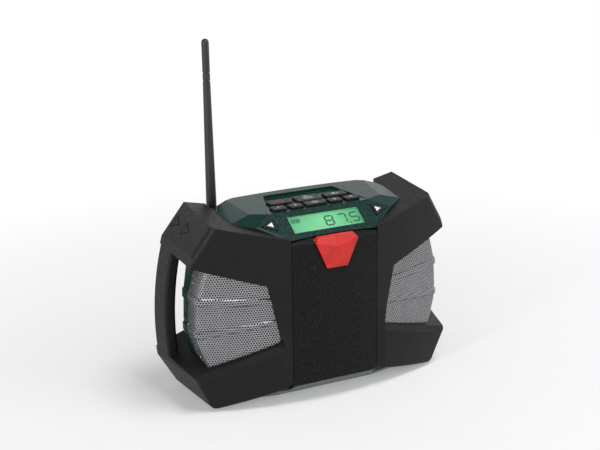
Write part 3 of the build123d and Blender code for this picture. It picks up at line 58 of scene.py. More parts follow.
# ---- the plan and side line that the grilles follow, in the CAD's drawing frame, millimetres ---
DRAWING_SHIFT = (0.0, -46.15, 1.2)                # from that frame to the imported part's
SEAM_X = 38.8                  # where the frames' curved front starts
FRONT_R = 430.0                # its radius in plan
FRONT_ANGLE = 11.2             # degrees by which it is turned where it starts
SHEET_INSET = 5.0              # the grille lies this far behind the frames' front
SIDE_LINE = ((92.0, -20.0), (97.0, 8.0), (104.4, 35.8), (111.3, 58.0), (112.0, 72.0),
             (110.3, 96.0), (103.0, 120.6), (92.0, 145.0))   # X and Z where front meets side
SHEET_X = 42.0                 # where distance along the sheet is counted from
SHEET_REAR_Y = 47.0            # where its side ends, at the rear shell
OPENING_TOP_X = 57.1           # the opening's upper and lower inner corners
OPENING_BOTTOM_X = 46.6
UPPER_FACE = (103.0, 20.0, 119.7, 0.303, 0.062)   # a point of the opening's face, and its slopes
LOWER_FACE = (117.0, 17.2, 30.8, -0.36, 0.19)
SHEET_LAP = 2.8                # sheet behind the frames' edges
RIBS = (((86.4, 92.6), (89.8, 97.0)),             # heights of a rib's edges, inside and outside
        ((71.6, 75.5), (61.2, 67.8)))
RIB_X = (42.0, 111.0)          # where they have these heights
RIB_H = 1.3
RIB_RAMP = 1.1                 # height over which a rib's edge rises
FOLD_R = 4.0                   # rounded fold between the front and the side
HOLE_PITCH = 2.2
HOLE_R = 0.76
HOLE_SIDES = 8
HOLE_MARGIN = 0.3              # plain metal left at the sheet's edges
SHEET_T = 0.25
CLOTH_DEPTH = 0.75             # dark cloth behind the sheet, partly painted shade behind its holes
THREAD_PITCH = 0.5
# dark cloth colour: partly the cloth's own, partly painted shade seen through the holes
CLOTH_AND_SHADE_COLOUR = (26, 27, 28)
OUTLINE_STEP = 2.0             # spacing of points on the sheet's outline and creases
SETTLE_ROUNDS = 6              # for a height and a place that follow from each other
CRISP_ANGLE = 35               # degrees, above which an edge of the sheet stays sharp
CUT_INSIDE = 1                 # Blender's number for triangles inside the outline only
CUT_WELD = 1e-5                # points closer than this become one

# ---- display and tuning buttons ---------------------------------------------------------------
DISPLAY_SLOPE = 30.5           # degrees
LENS_SINK = 0.25               # the lens lies this far below the panel around it
LENS_T = 1.6
DIGIT_SIZE = (8.4, 11.2)
DIGIT_SLANT = 0.07
SEGMENT_W = 1.5
SEGMENT_GAP = 0.12
DIGITS = (("8", 3.5), ("7", 15.4), ("5", 26.5))   # figure and its place across the display
DIGIT_Y = 0.6
SEGMENTS = {"8": "abcdefg", "7": "abc", "5": "afgcd"}
POINT_AT = (20.9, -5.0)
POINT_SIZE = 1.6
ICON_AT = (-25.6, 5.2)         # a small battery symbol
ICON_SIZE = (7.0, 4.0)
ICON_LINE = 0.85
ICON_CELL_X = ICON_SIZE[0] / 6                    # two bars inside it, this far off its middle
ICON_CELL_SIZE = (ICON_SIZE[0] / 5, ICON_SIZE[1] - 4 * ICON_LINE / 3)
ICON_TIP_H = ICON_SIZE[1] / 2
INK_T = 0.04
FIGURE_COLOUR = (20, 108, 72)
ARROW_X = 48.4                 # a tuning button's middle, across and up the slope
ARROW_UP = 3.0
ARROW_RISE = 0.9               # its face above the panel
ARROW_PRINT_R = 3.2
ARROW_COLOUR = (232, 233, 234)

# ---- prints on the keys, measured from the middle of each -------------------------------------
PRINT_T = 0.05
LINE_W = 0.6
PRINT_WHITE = (196, 198, 200)
PRINT_RED = (176, 44, 42)
PRESET_TEXT = 6.0
RING_R = 2.3
RING_PARTS = 28
POWER_RING = (120, 420)        # degrees from which and to which it is drawn
FUNCTION_RING = (3.6, 0.9)     # height of its middle, and radius
FUNCTION_ROWS = (0.6, -1.2, -3.0)
FUNCTION_W = 9.0
MUTE_BACK = (-2.4, 0.0, 1.2, 1.6)                 # place and size of the loudspeaker's back
MUTE_HORN = ((-1.8, -0.8), (0.2, -2.2), (0.2, 2.2), (-1.8, 0.8))
MUTE_STROKE = ((1.2, -1.3), (1.6, -1.6), (3.9, 1.3), (3.5, 1.6))   # one half of the cross
SELECT_DOT_R = 0.8

# ---- surfaces ---------------------------------------------------------------------------------
CLOUD_SIZE = 9.0               # mottling of moulded surfaces
GLOSS_PATCH = 3.0              # patches in which they are duller or glossier
GLOSS_SPREAD = 0.05
BRUSH_PITCH = 0.25             # lines of brushed metal
BRUSH_STRETCH = 0.04           # their thickness beside their length
EDGE_SAMPLES = 6

# ---- light ------------------------------------------------------------------------------------
LAMP_TARGET = (0.0, 0.0, 0.09)
LAMPS = (("top_lamp", (0.35, -0.5, 1.8), (0.9, 0.7), 20),         # place, size and watts
         ("key_lamp", (-1.0, -2.0, 1.5), (1.6, 1.6), 6),
         ("side_lamp", (-1.7, -0.75, 0.45), (0.22, 0.4), 12),
         ("fill_lamp", (1.8, -1.3, 0.9), (1.4, 1.4), 12))
ROOM_LIGHT = 0.45              # the room's light on the object
CEILING_GREY = 0.3             # the ceiling's level beside the walls' of 1
CEILING_RISE = (0.55, 0.8)     # sine of the elevation over which the walls turn into it
FLOOR_REACH = 12.0             # metres from the middle to its edges
FLOOR_GREYS = (243, 247)
FLOOR_GLOW = 0.25              # how much of the floor's look is plain white, the rest being lit
FLOOR_FADE = (0.15, 0.6)       # metres from the object over which it becomes wholly white


# ---- small helpers ----------------------------------------------------------------------------
def to_scene(x, y, z):
    """A point of the CAD's drawing frame, in millimetres, as a point of the scene."""
    dx, dy, dz = DRAWING_SHIFT
    return Vector(((x + dx) * MM, (y + dy) * MM, (z + dz) * MM))


def screen(red, green, blue):
    """A colour given as it shows on a screen, 0 to 255, as the shaders want it."""
    channels = []
    for value in (red / 255, green / 255, blue / 255):
        channels.append(value / 12.92 if value <= 0.04045 else ((value + 0.055) / 1.055) ** 2.4)
    return (*channels, 1.0)


def lerp(a, b, share):
    return a + (b - a) * share


def clamp(value, low=0.0, high=1.0):
    return max(low, min(high, value))


def make_piece(name, mesh, material, body, smooth=None):
    """A new piece of the object that rides on a body, smooth up to an angle if one is given."""
    piece = bpy.data.objects.new(name, mesh)
    bpy.context.scene.collection.objects.link(piece)
    mesh.materials.append(material)
    if smooth is not None:
        mesh.shade_smooth()
        mesh.set_sharp_from_angle(angle=math.radians(smooth))
    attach(piece, body)
    return piece


def mesh_from(name, points, faces):
    mesh = bpy.data.meshes.new(name)
    mesh.from_pydata(points, [], faces)
    mesh.update()
    return mesh


# ---- materials --------------------------------------------------------------------------------
def new_material(name):
    material = bpy.data.materials.new(name)
    material.use_nodes = True
    tree = material.node_tree
    return material, tree, tree.nodes["Principled BSDF"]


def add(tree, kind, values=None, **settings):
    """A shader node with its settings and plain input values."""
    node = tree.nodes.new(kind)
    for key, value in settings.items():
        setattr(node, key, value)
    for key, value in (values or {}).items():
        node.inputs[key].default_value = value
    return node


def noise(tree, feature, detail=2.0):
    """Noise whose features are about this many millimetres across."""
    place = add(tree, "ShaderNodeTexCoord")
    node = add(tree, "ShaderNodeTexNoise", {"Scale": 1 / (feature * MM), "Detail": detail})
    tree.links.new(place.outputs["Object"], node.inputs["Vector"])
    return node.outputs["Fac"]


def ranged(tree, source, low, high, start=0.35, stop=0.65):
    """A value between start and stop, spread from low to high."""
    node = add(tree, "ShaderNodeMapRange", {"From Min": start, "From Max": stop,
                                            "To Min": low, "To Max": high})
    tree.links.new(source, node.inputs["Value"])
    return node.outputs["Result"]


def mixed(tree, factor, first, second):
    """Two colours mixed by a factor. Each is a plain colour or another node's output."""
    node = add(tree, "ShaderNodeMixRGB")
    tree.links.new(factor, node.inputs["Fac"])
    for socket, colour in (("Color1", first), ("Color2", second)):
        if isinstance(colour, bpy.types.NodeSocket):
            tree.links.new(colour, node.inputs[socket])
        else:
            node.inputs[socket].default_value = colour
    return node.outputs["Color"]


def combined(tree, operation, first, second):
    """One value made of two."""
    node = add(tree, "ShaderNodeMath", operation=operation)
    tree.links.new(first, node.inputs[0])
    tree.links.new(second, node.inputs[1])
    return node.outputs["Value"]


def blend_surface(tree, share, first, second):
    """Gives the surface two shaders, mixed by the share of the second."""
    mix = add(tree, "ShaderNodeMixShader")
    tree.links.new(share, mix.inputs["Fac"])
    tree.links.new(first, mix.inputs[1])
    tree.links.new(second, mix.inputs[2])
    tree.links.new(mix.outputs["Shader"], tree.nodes["Material Output"].inputs["Surface"])


def soft_edges(tree, radius):
    """Normals rounded at the edges, and how near a point is to an edge, from 0 to 1."""
    bevel = add(tree, "ShaderNodeBevel", {"Radius": radius * MM}, samples=EDGE_SAMPLES)
    face = add(tree, "ShaderNodeNewGeometry")
    dot = add(tree, "ShaderNodeVectorMath", operation="DOT_PRODUCT")
    tree.links.new(bevel.outputs["Normal"], dot.inputs[0])
    tree.links.new(face.outputs["Normal"], dot.inputs[1])
    return bevel.outputs["Normal"], ranged(tree, dot.outputs["Value"], 1.0, 0.0, 0.85, 0.99)


def bumped(tree, height, depth, normal=None):
    """Normals that follow a height of this many millimetres, over those given."""
    node = add(tree, "ShaderNodeBump", {"Strength": 1.0, "Distance": depth * MM})
    tree.links.new(height, node.inputs["Height"])
    if normal is not None:
        tree.links.new(normal, node.inputs["Normal"])
    return node.outputs["Normal"]


def scaled(colour, factor):
    """A lighter or darker colour."""
    return (*[min(1.0, channel * factor) for channel in colour[:3]], 1.0)


def moulded(name, colour, roughness, grain, depth, second=None, edge=0.35, edge_wear_and_highlight=1.6,
            metallic=0.0, specular=0.5, mottle=0.12, speckle=None):
    """A moulded, cast or coated surface: grain, faint mottling, soft edges that are rubbed and
    carry a painted highlight.

    grain and depth are the size and height of its grain and edge the radius of its edges, in
    millimetres. second is the size and height of a coarser grain, speckle the size and strength of
    light spots, and edge_wear_and_highlight how much lighter the edges are, partly as rubbing and
    partly as a painted highlight.
    """
    material, tree, shader = new_material(name)
    normal, near = soft_edges(tree, edge)
    cloudy = ranged(tree, noise(tree, CLOUD_SIZE), 0.0, 1.0)
    base = mixed(tree, cloudy, scaled(colour, 1 - mottle), scaled(colour, 1 + mottle))
    if speckle:
        spots = ranged(tree, noise(tree, speckle[0], 1.0), 0.0, 1.0, 0.4, 0.7)
        base = mixed(tree, spots, base, scaled(colour, 1 + speckle[1]))
    # Edges painted lighter: partly rubbed wear, partly a painted highlight.
    base = mixed(tree, near, base, scaled(colour, edge_wear_and_highlight))
    tree.links.new(base, shader.inputs["Base Color"])
    rough = ranged(tree, noise(tree, GLOSS_PATCH, 3.0),
                   roughness - GLOSS_SPREAD, roughness + GLOSS_SPREAD)
    tree.links.new(rough, shader.inputs["Roughness"])
    normal = bumped(tree, noise(tree, grain), depth, normal)
    if second:
        normal = bumped(tree, noise(tree, second[0]), second[1], normal)
    tree.links.new(normal, shader.inputs["Normal"])
    shader.inputs["Metallic"].default_value = metallic
    shader.inputs["Specular IOR Level"].default_value = specular
    return material


def brushed(name, colour, roughness, along=2):
    """Metal with fine lines along one axis, given by its number."""
    material, tree, shader = new_material(name)
    place = add(tree, "ShaderNodeTexCoord")
    scale = [BRUSH_STRETCH if axis == along else 1.0 for axis in range(3)]
    stretch = add(tree, "ShaderNodeMapping", {"Scale": scale})
    lines = add(tree, "ShaderNodeTexNoise", {"Scale": 1 / (BRUSH_PITCH * MM), "Detail": 3.0})
    tree.links.new(place.outputs["Object"], stretch.inputs["Vector"])
    tree.links.new(stretch.outputs["Vector"], lines.inputs["Vector"])
    base = mixed(tree, lines.outputs["Fac"], scaled(colour, 0.8), scaled(colour, 1.15))
    tree.links.new(base, shader.inputs["Base Color"])
    tree.links.new(ranged(tree, lines.outputs["Fac"], roughness - 0.08, roughness + 0.08),
                   shader.inputs["Roughness"])
    normal, _ = soft_edges(tree, 0.15)
    tree.links.new(bumped(tree, lines.outputs["Fac"], 0.004, normal), shader.inputs["Normal"])
    shader.inputs["Metallic"].default_value = 1.0
    return material


def clear_cover(name):
    """A clear glossy window: what lies under it shows, with a sheen at low angles."""
    material, tree, shader = new_material(name)
    tree.nodes.remove(shader)
    through = add(tree, "ShaderNodeBsdfTransparent", {"Color": (0.97, 1.0, 0.98, 1.0)})
    gloss = add(tree, "ShaderNodeBsdfGlossy")
    tree.links.new(ranged(tree, noise(tree, 6.0, 4.0), 0.05, 0.12), gloss.inputs["Roughness"])
    facing = add(tree, "ShaderNodeFresnel", {"IOR": 1.4})
    blend_surface(tree, facing.outputs["Fac"], through.outputs["BSDF"], gloss.outputs["BSDF"])
    return material


def glowing_display(name, dim, bright, glow):
    """The display's glass: a painted glow, painted brighter round its middle, and very slightly
    uneven.
    """
    material, tree, shader = new_material(name)
    low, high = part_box("display_module")
    reach = (high[0] - low[0]) / 2
    place = add(tree, "ShaderNodeTexCoord")
    middle = [-(a + b) / 2 / reach for a, b in zip(low, high)]
    centre = add(tree, "ShaderNodeMapping", {"Location": middle, "Scale": [1 / reach] * 3})
    ball = add(tree, "ShaderNodeTexGradient", gradient_type="SPHERICAL")
    tree.links.new(place.outputs["Object"], centre.inputs["Vector"])
    tree.links.new(centre.outputs["Vector"], ball.inputs["Vector"])
    # Painted light: brighter round the middle than at the rim.
    base = mixed(tree, ranged(tree, ball.outputs["Fac"], 0.0, 1.0, 0.0, 0.9), dim, bright)
    base = mixed(tree, ranged(tree, noise(tree, 0.6, 0.0), 0.0, 0.08), base, scaled(dim, 0.8))
    tree.links.new(base, shader.inputs["Base Color"])
    # Painted glow: the glass gives off light of its own colour.
    tree.links.new(base, shader.inputs["Emission Color"])
    shader.inputs["Emission Strength"].default_value = glow
    tree.links.new(ranged(tree, noise(tree, 4.0), 0.35, 0.5), shader.inputs["Roughness"])
    return material


def printed(name, colour, roughness=0.5):
    """Ink on a moulding: slightly uneven in colour and gloss."""
    material, tree, shader = new_material(name)
    patchy = ranged(tree, noise(tree, 0.4, 3.0), 0.0, 1.0)
    tree.links.new(mixed(tree, patchy, scaled(colour, 0.9), colour), shader.inputs["Base Color"])
    tree.links.new(ranged(tree, noise(tree, 0.8), roughness - 0.06, roughness + 0.06),
                   shader.inputs["Roughness"])
    tree.links.new(bumped(tree, noise(tree, 0.2), 0.004), shader.inputs["Normal"])
    return material


def woven(name, colour, pitch):
    """Cloth: two crossed sets of threads."""
    material, tree, shader = new_material(name)
    place = add(tree, "ShaderNodeTexCoord")
    waves = []
    for direction in ("X", "Z"):
        wave = add(tree, "ShaderNodeTexWave", {"Scale": 0.31 / (pitch * MM), "Distortion": 0.6},
                   bands_direction=direction)
        tree.links.new(place.outputs["Object"], wave.inputs["Vector"])
        waves.append(wave.outputs["Fac"])
    threads = combined(tree, "MAXIMUM", *waves)
    tree.links.new(mixed(tree, threads, scaled(colour, 0.4), scaled(colour, 1.3)),
                   shader.inputs["Base Color"])
    tree.links.new(ranged(tree, threads, 0.8, 1.0, 0.0, 1.0), shader.inputs["Roughness"])
    tree.links.new(bumped(tree, threads, 0.1), shader.inputs["Normal"])
    shader.inputs["Sheen Weight"].default_value = 0.2
    return material


def make_finishes():
    """One finish for each material slot of the record."""
    dark = screen(24, 24, 26)
    return {
        "black_plastic": moulded("black_plastic", screen(18, 18, 19), 0.48, 0.7, 0.012,
                                 second=(2.0, 0.01), edge=0.6, edge_wear_and_highlight=2.4, specular=0.19,
                                 speckle=(1.1, 0.3)),
        "door_plastic": moulded("door_plastic", screen(11, 11, 12), 0.52, 0.7, 0.05, (1.5, 0.09),
                                edge_wear_and_highlight=2.4, specular=0.12, speckle=(1.3, 3.0)),
        "green_plastic": moulded("green_plastic", screen(8, 44, 40), 0.27, 0.6, 0.006, edge=0.6,
                                 specular=0.25, mottle=0.06),
        "red_plastic": moulded("red_plastic", screen(190, 32, 26), 0.38, 0.8, 0.006, edge=0.6,
                               edge_wear_and_highlight=1.7, specular=0.4),
        "key_rubber": moulded("key_rubber", screen(14, 15, 16), 0.4, 0.5, 0.006, edge=0.4,
                              specular=0.18),
        "arrow_plastic": moulded("arrow_plastic", screen(16, 17, 18), 0.4, 0.5, 0.006,
                                 specular=0.25),
        "bay_plastic": moulded("bay_plastic", dark, 0.5, 0.6, 0.015),
        "battery_plastic": moulded("battery_plastic", screen(40, 42, 44), 0.48, 0.8, 0.02),
        "antenna_plastic": moulded("antenna_plastic", dark, 0.4, 0.6, 0.01),
        "whip_rubber": moulded("whip_rubber", screen(26, 26, 28), 0.45, 0.5, 0.01, (3.0, 0.01)),
        "socket_plastic": moulded("socket_plastic", dark, 0.4, 0.5, 0.01, edge=0.2),
        "seal_rubber": moulded("seal_rubber", screen(30, 30, 31), 0.75, 0.3, 0.01, edge=0.2),
        "foot_rubber": moulded("foot_rubber", screen(28, 28, 29), 0.8, 0.4, 0.03, edge=0.2),
        "basket_steel": moulded("basket_steel", screen(40, 40, 42), 0.4, 0.4, 0.01, metallic=0.6),
        "cone_paper": moulded("cone_paper", screen(38, 37, 36), 0.9, 0.5, 0.05, edge=0.1),
        "magnet": moulded("magnet", screen(70, 70, 72), 0.55, 0.3, 0.02, metallic=0.7),
        "circuit_board": moulded("circuit_board", screen(22, 84, 48), 0.35, 1.6, 0.02, edge=0.1),
        "capacitor_sleeve": moulded("capacitor_sleeve", screen(24, 26, 52), 0.25, 0.6, 0.005),
        "grille_metal": moulded("grille_metal", screen(154, 154, 157), 0.27, 0.3, 0.004,
                                edge=0.05, edge_wear_and_highlight=1.1, metallic=0.7, mottle=0.04),
        "steel": brushed("steel", screen(132, 132, 136), 0.38),
        "aluminium": brushed("aluminium", screen(205, 206, 208), 0.35, along=1),
        "brass": brushed("brass", screen(214, 178, 96), 0.28, along=1),
        "lens": clear_cover("lens"),
        "display": glowing_display("display", screen(96, 184, 134), screen(146, 222, 174), 0.3),
    }


# ---- perforated grilles -----------------------------------------------------------------------
class Sheet:
    """The right grille's face: u runs along it from the inner edge round the fold, z is height."""

    def __init__(self):
        self.radius = FRONT_R - SHEET_INSET
        self.cx = SEAM_X - FRONT_R * math.sin(math.radians(FRONT_ANGLE))
        self.cy = FRONT_R * math.cos(math.radians(FRONT_ANGLE))
        self.start = self.angle_at(SHEET_X)

    def angle_at(self, x):
        """How far the front is turned where it passes x."""
        return math.asin((x - self.cx) / self.radius)

    def u_at(self, x):
        """Distance along the front where the sheet passes x."""
        return (self.angle_at(x) - self.start) * self.radius

    def on_front(self, angle):
        """The point in plan where the front is turned by this angle."""
        return Vector((self.cx + self.radius * math.sin(angle),
                       self.cy - self.radius * math.cos(angle)))

    def fold(self, z):
        """At one height: the front's angle at the fold, the fold's tangent length, its start."""
        for (x0, z0), (x1, z1) in zip(SIDE_LINE, SIDE_LINE[1:]):
            if z0 <= z <= z1:
                angle = self.angle_at(lerp(x0, x1, (z - z0) / (z1 - z0)))
        tangent = FOLD_R * math.tan((math.pi / 2 - angle) / 2)
        return angle, tangent, (angle - self.start) * self.radius - tangent

    def end(self, z):
        """Where the sheet ends, at the rear shell."""
        angle, tangent, begin = self.fold(z)
        straight = SHEET_REAR_Y - self.on_front(angle).y - tangent
        return begin + FOLD_R * (math.pi / 2 - angle) + straight

    def flat(self, u, z):
        """Place in plan and outward direction of the sheet, without its ribs."""
        angle, tangent, begin = self.fold(z)
        if u <= begin:
            turned = self.start + u / self.radius
            return self.on_front(turned), Vector((math.sin(turned), -math.cos(turned)))
        along = Vector((math.cos(angle), math.sin(angle)))
        outward = Vector((along.y, -along.x))
        centre = self.on_front(angle) - along * tangent - outward * FOLD_R
        turned = min(angle + (u - begin) / FOLD_R, math.pi / 2)
        outward = Vector((math.sin(turned), -math.cos(turned)))
        past = max(0.0, u - begin - FOLD_R * (math.pi / 2 - angle))
        return centre + outward * FOLD_R + Vector((0, past)), outward

    def rib_edge(self, inside, outside, x):
        """Height of a rib's edge at x, from its heights inside and outside."""
        return lerp(inside, outside, clamp((x - RIB_X[0]) / (RIB_X[1] - RIB_X[0])))

    def point(self, u, z, depth):
        """The point of the scene on the sheet, this far behind its face."""
        place, outward = self.flat(u, z)
        lift = 0.0
        for (low_inside, high_inside), (low_outside, high_outside) in RIBS:
            low = self.rib_edge(low_inside, low_outside, place.x)
            high = self.rib_edge(high_inside, high_outside, place.x)
            lift = max(lift, RIB_H * clamp(min(z - low, high - z) / RIB_RAMP))
        place += outward * (lift - depth)
        return to_scene(place.x, place.y, z)

    def face_z(self, face, u, lap):
        """Height at u of the opening's upper or lower face, moved up by lap."""
        x0, y0, z0, slope_x, slope_y = face
        z = z0
        for _ in range(SETTLE_ROUNDS):
            place, _ = self.flat(u, z)
            z = z0 + slope_x * (place.x - x0) + slope_y * (place.y - y0) + lap
        return z

    def outline(self):
        """The sheet's edge in u and z: what the opening shows, and the lap behind the frame."""
        lower = self.run(self.u_at(OPENING_BOTTOM_X - SHEET_LAP), LOWER_FACE, -SHEET_LAP)
        upper = self.run(self.u_at(OPENING_TOP_X - SHEET_LAP), UPPER_FACE, SHEET_LAP)
        low_z, high_z = lower[-1][1], upper[-1][1]
        steps = int((high_z - low_z) / OUTLINE_STEP)
        rear = [lerp(low_z, high_z, step / steps) for step in range(1, steps)]
        return lower + [(self.end(z), z) for z in rear] + upper[::-1]

    def run(self, start, face, lap):
        """The sheet's lower or upper edge, from its inner end to the rear shell."""
        points = []
        u = start
        z = self.face_z(face, u, lap)
        while u < self.end(z):
            points.append((u, z))
            u += OUTLINE_STEP
            z = self.face_z(face, u, lap)
        for _ in range(SETTLE_ROUNDS):
            z = self.face_z(face, self.end(z), lap)
        return points + [(self.end(z), z)]

    def creases(self):
        """The long edges of the ribs' ramps, as rows of points in u and z."""
        rows = []
        for rib in RIBS:
            for (inside, outside), ramp in zip(zip(*rib), (RIB_RAMP, -RIB_RAMP)):
                for offset in (0.0, ramp):
                    row = []
                    for step in range(int(self.end(outside) / OUTLINE_STEP)):
                        u = step * OUTLINE_STEP
                        place, _ = self.flat(u, outside)
                        row.append((u, self.rib_edge(inside, outside, place.x) + offset))
                    rows.append(row + [(self.end(outside) - HOLE_MARGIN, outside + offset)])
        return rows


def inside_by(outline, point, margin):
    """Whether a point lies within a closed outline, at least margin from it."""
    inside = False
    for a, b in zip(outline, outline[1:] + outline[:1]):
        start, run = Vector(a), Vector(b) - Vector(a)
        share = clamp((Vector(point) - start).dot(run) / run.length_squared)
        if (start + run * share - Vector(point)).length < margin:
            return False
        if (a[1] > point[1]) != (b[1] > point[1]):
            if point[0] < a[0] + run.x * (point[1] - a[1]) / run.y:
                inside = not inside
    return inside


def extent(outline):
    """The lowest and the highest u and z of an outline."""
    columns = list(zip(*outline))
    return [min(values) for values in columns], [max(values) for values in columns]


def add_creases(sheet, outline, points, margin):
    """Adds the creases' points that lie within the outline, and gives the edges they make."""
    edges = []
    for row in sheet.creases():
        kept = [p for p in row if inside_by(outline, p, margin)]
        edges += [(len(points) + i, len(points) + i + 1) for i in range(len(kept) - 1)]
        points.extend(Vector(p) for p in kept)
    return edges


def hole_centres(outline):
    """Staggered rows of holes over the outline."""
    lows, highs = extent(outline)
    rise = HOLE_PITCH * math.sqrt(3) / 2
    centres = []
    for row in range(int((highs[1] - lows[1]) / rise) + 1):
        for column in range(int((highs[0] - lows[0]) / HOLE_PITCH) + 1):
            u = lows[0] + (column + row % 2 / 2) * HOLE_PITCH
            centre = (u, lows[1] + row * rise)
            if inside_by(outline, centre, HOLE_R + HOLE_MARGIN):
                centres.append(centre)
    return centres


def perforated(sheet):
    """The sheet cut into triangles round its holes, in u and z."""
    outline = sheet.outline()
    points = [Vector(p) for p in outline]
    rings = [list(range(len(points)))]
    for u, z in hole_centres(outline):
        rings.append(list(range(len(points), len(points) + HOLE_SIDES)))
        for corner in range(HOLE_SIDES):
            angle = 2 * math.pi * (corner + 0.5) / HOLE_SIDES
            points.append(Vector((u + HOLE_R * math.cos(angle), z + HOLE_R * math.sin(angle))))
    edges = add_creases(sheet, outline, points, HOLE_MARGIN / 2)
    flat, _, faces, _, _, owners = delaunay_2d_cdt(points, edges, rings,
                                                   CUT_INSIDE, CUT_WELD, True)
    return flat, [face for face, owner in zip(faces, owners) if owner == [0]]


def placed(sheet, flat, side, depth):
    """Points on the sheet of one side, this far behind its face: 1 is right, -1 left."""
    mirror = Matrix.Diagonal((side, 1, 1))
    return [mirror @ sheet.point(p.x, p.y, depth) for p in flat]


def wound(faces, side):
    """Faces of the right side, turned over for the left one."""
    return [face if side > 0 else face[::-1] for face in faces]


def grille_mesh(sheet, flat, faces, side):
    """The perforated sheet with its thickness, without the points that no face uses."""
    outer = placed(sheet, flat, side, 0.0)
    inner = placed(sheet, flat, side, SHEET_T)
    count = len(flat)
    turned = wound(faces, side)
    borders = {}               # the edges that only one face has
    for face in turned:
        for a, b in zip(face, face[1:] + face[:1]):
            if borders.pop((b, a), None) is None:
                borders[(a, b)] = True
    walls = [(b, a, a + count, b + count) for a, b in borders]
    back = [tuple(i + count for i in reversed(face)) for face in turned]
    mesh = mesh_from("grille", outer + inner, [tuple(face) for face in turned] + back + walls)
    used = bmesh.new()
    used.from_mesh(mesh)
    bmesh.ops.delete(used, geom=[v for v in used.verts if not v.link_faces], context="VERTS")
    used.to_mesh(mesh)
    used.free()
    return mesh


def cloth_mesh(sheet, side):
    """One layer of dark cloth behind the sheet, without holes; partly painted shade for the holes.
    """
    outline = sheet.outline()
    points = [Vector(p) for p in outline]
    edges = add_creases(sheet, outline, points, HOLE_MARGIN)
    lows, highs = extent(outline)
    u = lows[0]
    while u < highs[0]:
        z = lows[1]
        while z < highs[1]:
            if inside_by(outline, (u, z), HOLE_MARGIN):
                points.append(Vector((u, z)))
            z += OUTLINE_STEP
        u += OUTLINE_STEP
    ring = [list(range(len(outline)))]
    flat, _, faces, _, _, _ = delaunay_2d_cdt(points, edges, ring, CUT_INSIDE, CUT_WELD, True)
    return mesh_from("cloth", placed(sheet, flat, side, CLOTH_DEPTH), wound(faces, side))


def make_grilles(finishes):
    """The perforated sheets, in place of the CAD's plain ones, and the cloth behind them, partly
    painted shade.
    """
    sheet = Sheet()
    flat, faces = perforated(sheet)
    cloth = woven("speaker_cloth", screen(*CLOTH_AND_SHADE_COLOUR), THREAD_PITCH)
    for name, side in (("right", 1), ("left", -1)):
        grille = make_piece(f"perforated_grille_{name}", grille_mesh(sheet, flat, faces, side),
                            finishes["grille_metal"], "housing", CRISP_ANGLE)
        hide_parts(f"grille_{name}")
        make_piece(f"speaker_cloth_{name}", cloth_mesh(sheet, side), cloth, "housing",
                   CRISP_ANGLE)


# ---- flat prints ------------------------------------------------------------------------------
class Print:
    """Convex patches of ink in a flat frame, in millimetres, made into one thin raised mesh."""

    def __init__(self, origin, right, up):
        self.origin, self.right, self.up = origin, right, up
        self.normal = right.cross(up)
        self.patches = []

    def polygon(self, *corners):
        self.patches.append(corners)

    def bar(self, x, y, width, height):
        w, h = width / 2, height / 2
        self.polygon((x - w, y - h), (x + w, y - h), (x + w, y + h), (x - w, y + h))

    def arc(self, x, y, radius, width, start=0, stop=360):
        """A ring, or part of one from one angle to another, in degrees."""
        shares = [part / RING_PARTS for part in range(RING_PARTS + 1)]
        angles = [math.radians(lerp(start, stop, share)) for share in shares]
        for a, b in zip(angles, angles[1:]):
            self.polygon(*[(x + r * math.cos(t), y + r * math.sin(t))
                           for r, t in ((radius, a), (radius + width, a),
                                        (radius + width, b), (radius, b))])

    def mesh(self, name, thickness):
        """All patches as closed plates."""
        points, faces = [], []
        for corners in self.patches:
            first, count = len(points), len(corners)
            for lift in (0.0, thickness):
                points += [self.origin + (self.right * x + self.up * y + self.normal * lift) * MM
                           for x, y in corners]
            faces.append(tuple(range(first + count - 1, first - 1, -1)))
            faces.append(tuple(range(first + count, first + 2 * count)))
            for i in range(count):
                j = (i + 1) % count
                faces.append((first + i, first + j, first + count + j, first + count + i))
        return mesh_from(name, points, faces)


def display_axes():
    """The directions up the display's slope and out of it."""
    slope = math.radians(DISPLAY_SLOPE)
    rise = Vector((0, math.cos(slope), math.sin(slope)))
    return rise, Vector((0, -math.sin(slope), math.cos(slope)))


def display_point(x, up, lift):
    """A point on the sloped display facet: across, up the slope and out of it, in millimetres."""
    low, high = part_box("display_lens")
    middle = (Vector(low) + Vector(high)) / 2
    rise, normal = display_axes()
    out = lift + LENS_SINK + LENS_T / 2
    return middle + (Vector((x, 0, 0)) + rise * up + normal * out) * MM


def draw_digit(ink, figure, x):
    """One seven-segment figure, leaning slightly."""
    half_w = (DIGIT_SIZE[0] - SEGMENT_W) / 2
    half_h = (DIGIT_SIZE[1] - SEGMENT_W) / 2
    ends = {"a": ((-half_w, half_h), (half_w, half_h)), "b": ((half_w, half_h), (half_w, 0)),
            "c": ((half_w, 0), (half_w, -half_h)), "d": ((-half_w, -half_h), (half_w, -half_h)),
            "e": ((-half_w, 0), (-half_w, -half_h)), "f": ((-half_w, half_h), (-half_w, 0)),
            "g": ((-half_w, 0), (half_w, 0))}
    for segment in SEGMENTS[figure]:
        start, stop = (Vector(p) for p in ends[segment])
        along = (stop - start).normalized()
        across = Vector((-along.y, along.x)) * SEGMENT_W / 2
        start, stop = start + along * SEGMENT_GAP, stop - along * SEGMENT_GAP
        inset = along * SEGMENT_W / 2
        corners = (start, start + inset - across, stop - inset - across, stop,
                   stop - inset + across, start + inset + across)
        ink.polygon(*[(x + p.x + DIGIT_SLANT * p.y, DIGIT_Y + p.y) for p in corners])


def draw_battery(ink):
    """A battery symbol: a frame with two bars in it and a tip on the right."""
    x, y = ICON_AT
    width, height = ICON_SIZE
    for side in (-1, 1):
        ink.bar(x, y + side * (height - ICON_LINE) / 2, width, ICON_LINE)
        ink.bar(x + side * (width - ICON_LINE) / 2, y, ICON_LINE, height - 2 * ICON_LINE)
        ink.bar(x + side * ICON_CELL_X, y, *ICON_CELL_SIZE)
    ink.bar(x + (width + ICON_LINE) / 2, y, ICON_LINE, ICON_TIP_H)


